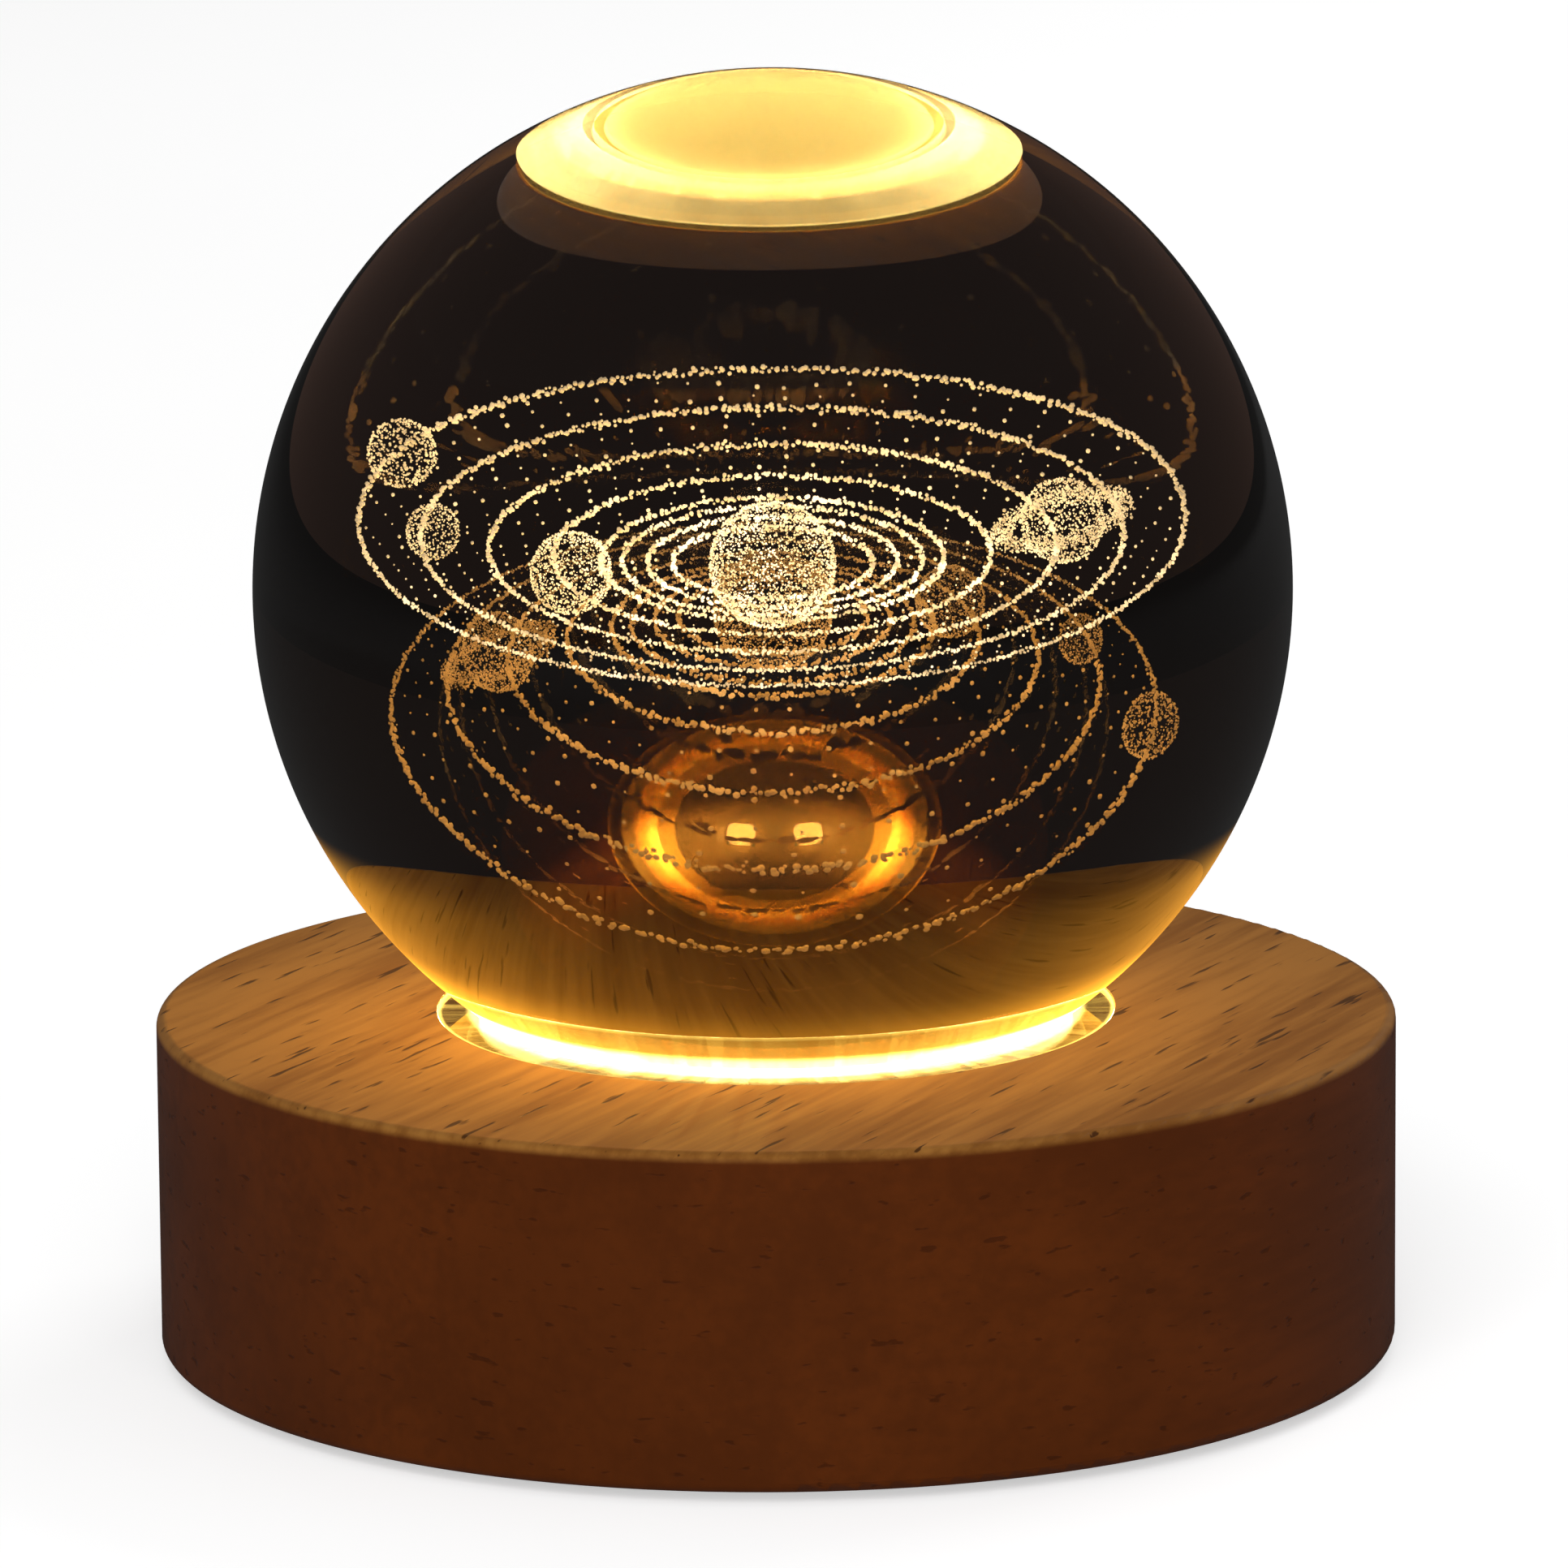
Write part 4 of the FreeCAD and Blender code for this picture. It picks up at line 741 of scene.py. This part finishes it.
def wood_material():
    """Turned wood with grain and pores across its top; painted light makes the top honey and painted shade
    makes the side dark.
    """
    wood = settings().wood
    material, tree, shader = new_material("turned wood")
    place, parts = object_place(tree)
    turned = {"Vector": place, "Rotation": (0.0, 0.0, -wood.grain_angle)}
    along = put(tree, "ShaderNodeMapping", turned).outputs[0]
    broad = stretched_noise(tree, along, BROAD_GRAIN, 4.0, 0.55)
    fine = stretched_noise(tree, along, FINE_GRAIN, 3.0, 0.55)
    pores = stretched_noise(tree, along, PORE_GRAIN, 2.0, 0.4)
    flecks = stretched_noise(tree, place, SIDE_FLECKS, 2.0)
    clouds = span(tree, noise(tree, place, SIDE_CLOUDS, 2.0), 0.35, 0.65)
    grain = maths(tree, "ADD", product(tree, broad, 0.6), product(tree, fine, 0.4))
    share = span(tree, grain, 0.36, 0.62)
    # Painted light on the top face: lit copies of the wood's colours, with its grain.
    top = blend_colours(tree, share, rgba(wood.lit_top_grain), rgba(wood.top))
    side_grain = span(tree, share, 0.0, 1.0, 0.45, 1.0, False)
    side_share = product(tree, side_grain, span(tree, clouds, 0.0, 1.0, 0.6, 1.0))
    # Painted shade on the side: shaded copies of the wood's colours, with its grain and clouds.
    side = blend_colours(tree, side_share, rgba(wood.shaded_side_grain), rgba(wood.side))
    is_top = span(tree, parts["Z"], WOOD_HIGH.z - 0.9 * MM, WOOD_HIGH.z - 0.25 * MM)
    # Painted light on the top and painted shade on the side, joined at the top edge.
    closed = blend_colours(tree, is_top, side, top)
    open_pores = span(tree, blend_values(tree, is_top, flecks, pores), 0.65, 0.72)
    pore_share = product(tree, open_pores, span(tree, is_top, 0.0, 1.0, 0.5, 0.8))
    fill(tree, shader, {
        "Base Color": blend_colours(tree, pore_share, closed, rgba(wood.pore)),
        "Roughness": span(tree, grain, 0.3, 0.7, 0.42, 0.6),
        "Specular IOR Level": 0.02,
        "Sheen Weight": 0.03,
    })
    depth = maths(tree, "SUBTRACT", product(tree, fine, 0.35), open_pores)
    relief(tree, shader, depth, 0.05 * MM, 0.7)
    light_seat(tree, shader, place, parts["Z"], share)
    return material


class LAMP_OT_wood(bpy.types.Operator):
    """Finish the turned wooden base"""

    bl_idname = "ball_lamp.wood"
    bl_label = "Wooden base"

    def execute(self, context):
        dress(wood_material(), "wood_base")
        return {"FINISHED"}


# Distances from the axis between which the light of the ring's bore fades.
RING_BORE = (22.4 * MM, 23.4 * MM)


def ring_material():
    """Clear acrylic whose dished face, outer edge and underside carry the diodes' light."""
    glow = settings().glow
    material, tree, shader = new_material("lit acrylic")
    place, parts = object_place(tree)
    away = axis_distance(tree, place)
    from_ball = vectors(tree, "DISTANCE", place, (0.0, 0.0, BALL_CENTRE_Z))
    dish = span(tree, from_ball, BALL_RADIUS + 0.6 * MM, BALL_RADIUS + 1.0 * MM, 1.0, 0.0)
    inner_light = maths(tree, "MAXIMUM", dish, span(tree, away, *RING_BORE, 1.0, 0.0))
    slant = put(tree, "ShaderNodeLayerWeight", {"Blend": 0.5}).outputs["Facing"]
    inner_level = span(tree, slant, 0.2, 0.5, 0.34, 1.0)
    inner = seen_straight(tree, product(tree, inner_light, inner_level, glow.ring))
    rim = span(tree, away, RING_HIGH.x - 0.4 * MM, RING_HIGH.x - 0.1 * MM, 0.0, glow.rim)
    under = span(tree, parts["Z"], RING_LOW.z + 0.05 * MM, RING_LOW.z + 0.2 * MM, glow.under, 0.0)
    light = maths(tree, "ADD", inner, maths(tree, "MAXIMUM", rim, under))
    streaky = span(tree, noise(tree, place, 260.0), 0.3, 0.7, 0.85, 1.05)
    fill(tree, shader, {
        "Base Color": (1.0, 0.95, 0.85, 1.0),
        "Roughness": 0.04,
        "IOR": 1.49,
        "Transmission Weight": 1.0,
        "Emission Color": blend_colours(tree, inner_light, rgba(glow.colour), rgba(glow.ring_colour)),
        "Emission Strength": product(tree, light, streaky),
    })
    return material


class LAMP_OT_ring(bpy.types.Operator):
    """Finish the clear ring that the ball sits in"""

    bl_idname = "ball_lamp.ring"
    bl_label = "Seat ring"

    def execute(self, context):
        dress(ring_material(), "seat_ring")
        keep_lamps_off(frame["nodes"]["seat_ring"])
        return {"FINISHED"}


def cup_material():
    """White plastic, lit from within by the diodes."""
    glow = settings().glow
    material, tree, shader = new_material("lit white cup")
    place, parts = object_place(tree)
    grain = noise(tree, place, 500.0)
    wall = span(tree, parts["Z"], CUP_HIGH.z - 2.9 * MM, CUP_HIGH.z - 2.4 * MM, glow.cup, glow.cup_wall)
    fill(tree, shader, {
        "Base Color": blend_colours(tree, grain, (0.8, 0.76, 0.68, 1.0), (0.9, 0.88, 0.82, 1.0)),
        "Roughness": 0.45,
        "Emission Color": rgba(glow.colour),
        "Emission Strength": seen_straight(tree, wall),
    })
    return material


def diode_distance(tree, place):
    """Distance from the upright axis of the nearer diode."""
    middle = (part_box("led_right")[0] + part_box("led_right")[1]) / 2
    to_the_right = vectors(tree, "ABSOLUTE", place)
    return axis_distance(tree, vectors(tree, "SUBTRACT", to_the_right, (middle.x, 0.0, 0.0)))


def diode_material():
    """Diode package: pale frame with a glowing yellow face."""
    glow = settings().glow
    material, tree, shader = new_material("lit diode")
    place, parts = object_place(tree)
    face = span(tree, diode_distance(tree, place), 2.2 * MM, 3.4 * MM, 1.0, 0.0)
    upper = span(tree, parts["Z"], DIODE_HIGH.z - 1.4 * MM, DIODE_HIGH.z - 0.9 * MM)
    lit = product(tree, face, upper)
    fill(tree, shader, {
        "Base Color": blend_colours(tree, lit, (0.82, 0.8, 0.74, 1.0), (0.9, 0.62, 0.08, 1.0)),
        "Roughness": 0.4,
        "Emission Color": (1.0, 0.95, 0.85, 1.0),
        "Emission Strength": seen_straight(tree, product(tree, lit, glow.diode)),
    })
    return material


def board_material():
    """White circuit board, brightly lit close to the diodes."""
    glow = settings().glow
    material, tree, shader = new_material("white circuit board")
    place, _ = object_place(tree)
    grain = noise(tree, place, 900.0)
    near = span(tree, diode_distance(tree, place), 2.0 * MM, 6.0 * MM, glow.cup * 1.8, glow.cup * 0.6)
    inside_cup = span(tree, axis_distance(tree, place), 10.0 * MM, 10.5 * MM, 1.0, 0.0)
    fill(tree, shader, {
        "Base Color": blend_colours(tree, grain, (0.66, 0.65, 0.6, 1.0), (0.8, 0.79, 0.75, 1.0)),
        "Roughness": 0.45,
        "Emission Color": rgba(glow.colour),
        "Emission Strength": seen_straight(tree, product(tree, near, inside_cup)),
    })
    return material


class LAMP_OT_light(bpy.types.Operator):
    """Finish the diodes, their board and leads, the cup round them and the screws"""

    bl_idname = "ball_lamp.light"
    bl_label = "Light source"

    def execute(self, context):
        dress(cup_material(), "light_cup")
        dress(diode_material(), "led_left", "led_right")
        dress(board_material(), "led_board")
        steel = machined("bright screw steel", (0.62, 0.6, 0.57), 0.3)
        dress(steel, "led_board_screws", "inlet_board_screws", "bezel_screws", "cover_screws")
        dress(moulded("red wire sleeve", (0.45, 0.02, 0.015), 0.45, 1500.0), "positive_lead")
        dress(moulded("black wire sleeve", (0.015, 0.015, 0.016), 0.45, 1500.0), "negative_lead")
        return {"FINISHED"}


# Points of the spring's loose triangles that lie closer than this are one.
MERGE_DISTANCE = 0.0005 * MM


def shortening_spring(material):
    """Stands a merged copy of the button's spring in its place."""
    wire = bmesh.new()
    wire.from_mesh(frame["nodes"]["button_spring"].data)
    bmesh.ops.remove_doubles(wire, verts=wire.verts[:], dist=MERGE_DISTANCE)
    for face in wire.faces:
        face.smooth = True
    coil = bpy.data.meshes.new("spring_coil")
    wire.to_mesh(coil)
    wire.free()
    coil.materials.append(material)
    piece = new_piece("spring_coil", coil, "base", ["button_spring"])
    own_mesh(piece)


class LAMP_OT_inlet(bpy.types.Operator):
    """Finish the rear plate with its socket and button, and what stands behind it"""

    bl_idname = "ball_lamp.inlet"
    bl_label = "Rear inlet"

    def execute(self, context):
        dress(moulded("green circuit board", (0.01, 0.12, 0.05), 0.4, 800.0), "inlet_board")
        dress(moulded("black resistor body", (0.02, 0.02, 0.021), 0.4, 1800.0), "current_resistor")
        dress(machined("drawn socket steel", (0.66, 0.66, 0.64), 0.26, 1), "usb_shell")
        dress(moulded("black socket core", (0.012, 0.012, 0.013), 0.4, 1600.0), "usb_core")
        dress(moulded("black switch case", (0.02, 0.02, 0.021), 0.45, 1400.0), "switch_housing")
        dress(moulded("black button cap", (0.03, 0.03, 0.031), 0.32, 2200.0, 0.008 * MM), "push_button")
        shortening_spring(machined("spring wire", (0.6, 0.6, 0.62), 0.3))
        dress(moulded("black bezel plate", (0.022, 0.021, 0.02), 0.5, 1500.0), "inlet_bezel")
        return {"FINISHED"}


class LAMP_OT_underside(bpy.types.Operator):
    """Finish the bottom cover and the rubber feet"""

    bl_idname = "ball_lamp.underside"
    bl_label = "Underside"

    def execute(self, context):
        dress(moulded("black bottom cover", (0.02, 0.019, 0.018), 0.55, 700.0, 0.04 * MM), "bottom_cover")
        rubber = moulded("black rubber", (0.016, 0.016, 0.017), 0.75, 1100.0, 0.03 * MM)
        dress(rubber, "foot_front", "foot_rear", "foot_left", "foot_right")
        return {"FINISHED"}


FLOOR_RADIUS = 6.0
# Place in metres and power in watts of each square lamp.
LAMPS = {
    "key_lamp": ((-0.2, -0.95, 0.6), 4.5),
    "fill_lamp": ((0.15, -1.0, 0.35), 2.5),
    "back_lamp": ((0.55, 0.7, 0.6), 2.2),
}
LAMP_SIDE = 0.6
LAMP_AIM = Vector((0.0, 0.0, 50.0 * MM))
# The warm lamp in the ball, from the middle of the wood's top face, and its size.
SPILL_OFFSET = Vector((-5.0, -6.0, 14.0)) * MM
SPILL_SIZE = 8.0 * MM


def by_ray(tree, plain, camera, mirror, through):
    """A value for each kind of ray: lighting rays, camera rays, mirrored rays and rays through glass."""
    path = put(tree, "ShaderNodeLightPath").outputs
    from_glass = path["Is Transmission Ray"]
    from_mirror = maths(tree, "SUBTRACT", path["Is Glossy Ray"], from_glass, clamp=True)
    value = plain
    for kind, wanted in ((path["Is Camera Ray"], camera), (from_mirror, mirror), (from_glass, through)):
        value = blend_values(tree, kind, value, wanted)
    return value


def make_world():
    """A white surround for the camera, an even light for the lamp, and a dim room in mirrors and glass."""
    stage = settings().stage
    world = bpy.data.worlds.new("studio")
    world.use_nodes = True
    tree = world.node_tree
    tree.nodes.clear()
    strength = by_ray(tree, stage.light, 1.0, stage.mirrored, stage.seen_through)
    in_room = by_ray(tree, 0.0, 0.0, 1.0, 1.0)
    colour = blend_colours(tree, in_room, WHITE, rgba(stage.room))
    background = put(tree, "ShaderNodeBackground", {"Color": colour, "Strength": strength})
    put(tree, "ShaderNodeOutputWorld", {"Surface": background.outputs[0]})
    bpy.context.scene.world = world


def make_floor():
    """A pale floor that is as dim as the room in mirrors and glass."""
    stage = settings().stage
    material, tree, shader = new_material("pale floor")
    brightness = by_ray(tree, 1.0, 1.0, stage.mirrored, stage.seen_through)
    place, _ = object_place(tree)
    uneven = span(tree, noise(tree, place, 6.0), 0.3, 0.7, 0.985, 1.0)
    shade = {0: stage.floor, 3: product(tree, brightness, uneven)}
    fill(tree, shader, {
        "Base Color": put(tree, "ShaderNodeVectorMath", shade, operation="SCALE").outputs[0],
        "Roughness": 0.9,
        "Specular IOR Level": 0.0,
        "Emission Color": WHITE,
        "Emission Strength": by_ray(tree, 0.0, stage.floor_lift, 0.0, 0.0),
    })
    disc = bmesh.new()
    bmesh.ops.create_circle(disc, cap_ends=True, segments=64, radius=FLOOR_RADIUS)
    mesh = bpy.data.meshes.new("floor")
    disc.to_mesh(mesh)
    disc.free()
    mesh.materials.append(material)
    floor = bpy.data.objects.new("floor", mesh)
    bpy.context.scene.collection.objects.link(floor)


def place_lamp(name, light):
    """Links a lamp that the camera and the glass don't show, with a list of pieces for light linking."""
    lamp = bpy.data.objects.new(name, light)
    lamp.visible_camera = False
    lamp.visible_transmission = False
    lamp.light_linking.receiver_collection = bpy.data.collections.new(f"{name} receivers")
    bpy.context.scene.collection.objects.link(lamp)
    return lamp


def soft_lamp(name, place, power):
    """A large square lamp that points at the middle of the lamp."""
    light = bpy.data.lights.new(name, "AREA")
    light.shape = "SQUARE"
    light.size = LAMP_SIDE
    light.energy = power
    lamp = place_lamp(name, light)
    lamp.location = place
    lamp.rotation_mode = "QUATERNION"
    lamp.rotation_quaternion = (LAMP_AIM - Vector(place)).to_track_quat("-Z", "Y")


def leave_out(lamp, piece):
    """Takes a piece out of what a lamp lights."""
    receivers = lamp.light_linking.receiver_collection
    receivers.objects.link(piece)
    receivers.collection_objects[-1].light_linking.link_state = "EXCLUDE"


def keep_lamps_off(piece):
    """Keeps the lamps out of what a polished piece mirrors."""
    for lamp in bpy.context.scene.objects:
        if lamp.light_linking.receiver_collection:
            leave_out(lamp, piece)


def spill_lamp():
    """The warm light that the ball throws down on the wood round it."""
    glow = settings().glow
    light = bpy.data.lights.new("spill", "POINT")
    light.energy = glow.spill
    light.color = glow.colour
    light.shadow_soft_size = SPILL_SIZE
    lamp = place_lamp("spill", light)
    lamp.location = Vector((0.0, 0.0, WOOD_HIGH.z)) + SPILL_OFFSET
    lamp.visible_glossy = False
    for name in ("light_cup", "led_board", "led_left", "led_right"):
        leave_out(lamp, frame["nodes"][name])


# Where the middle of the wood's top face lies in the photograph, in pixels right of and above its centre.
FRAME_SIDE = 1932
TOP_RIGHT_PIXELS = 956.1 - FRAME_SIDE / 2
TOP_UP_PIXELS = FRAME_SIDE / 2 - 1239.1
# Width of the camera's sensor in millimetres.
SENSOR = 36.0


def make_camera():
    """A camera at the photograph's angle."""
    stage = settings().stage
    data = bpy.data.cameras.new("camera")
    data.sensor_width = SENSOR
    data.lens = stage.camera_lens
    data.clip_start = 0.01
    camera = bpy.data.objects.new("camera", data)
    target = Vector((0.0, 0.0, WOOD_HIGH.z))
    back = Vector((0.0, -math.cos(stage.camera_height), math.sin(stage.camera_height)))
    camera.location = target + back * stage.camera_distance
    level = (-back).to_track_quat("-Z", "Y") @ Quaternion((0.0, 0.0, 1.0), -stage.camera_roll)
    focal = stage.camera_lens / SENSOR * FRAME_SIDE
    ahead = Vector((-TOP_RIGHT_PIXELS / focal, -TOP_UP_PIXELS / focal, -1.0))
    camera.rotation_mode = "QUATERNION"
    camera.rotation_quaternion = level @ Vector((0.0, 0.0, -1.0)).rotation_difference(ahead)
    bpy.context.scene.collection.objects.link(camera)
    bpy.context.scene.camera = camera


class LAMP_OT_stage(bpy.types.Operator):
    """Make the floor, the studio light and the camera"""

    bl_idname = "ball_lamp.stage"
    bl_label = "Stage"

    def execute(self, context):
        context.scene.view_settings.view_transform = "Standard"
        make_world()
        make_floor()
        for name, (place, power) in LAMPS.items():
            soft_lamp(name, place, power)
        spill_lamp()
        make_camera()
        return {"FINISHED"}


MAKERS = (
    LAMP_OT_stage,
    LAMP_OT_ball,
    LAMP_OT_engraving,
    LAMP_OT_wood,
    LAMP_OT_ring,
    LAMP_OT_light,
    LAMP_OT_inlet,
    LAMP_OT_underside,
)


class LAMP_PT_panel(bpy.types.Panel):
    """Lists the makers of the lamp's pieces"""

    bl_idname = "LAMP_PT_panel"
    bl_label = "Crystal Ball Lamp"
    bl_space_type = "VIEW_3D"
    bl_region_type = "UI"
    bl_category = "Ball Lamp"

    def draw(self, context):
        for maker in MAKERS:
            self.layout.operator(maker.bl_idname)


GROUPS = (BallSettings, EngravingSettings, WoodSettings, GlowSettings, StageSettings, LampSettings)


def register():
    for group in GROUPS:
        bpy.utils.register_class(group)
    bpy.types.Scene.ball_lamp = PointerProperty(type=LampSettings)
    for maker in (*MAKERS, LAMP_PT_panel):
        bpy.utils.register_class(maker)


def unregister():
    for maker in reversed((*MAKERS, LAMP_PT_panel)):
        bpy.utils.unregister_class(maker)
    del bpy.types.Scene.ball_lamp
    for group in reversed(GROUPS):
        bpy.utils.unregister_class(group)


def main():
    register()
    bpy.ops.ball_lamp.stage()
    bpy.ops.ball_lamp.ball()
    bpy.ops.ball_lamp.engraving()
    bpy.ops.ball_lamp.wood()
    bpy.ops.ball_lamp.ring()
    bpy.ops.ball_lamp.light()
    bpy.ops.ball_lamp.inlet()
    bpy.ops.ball_lamp.underside()


if __name__ == "__main__":
    main()
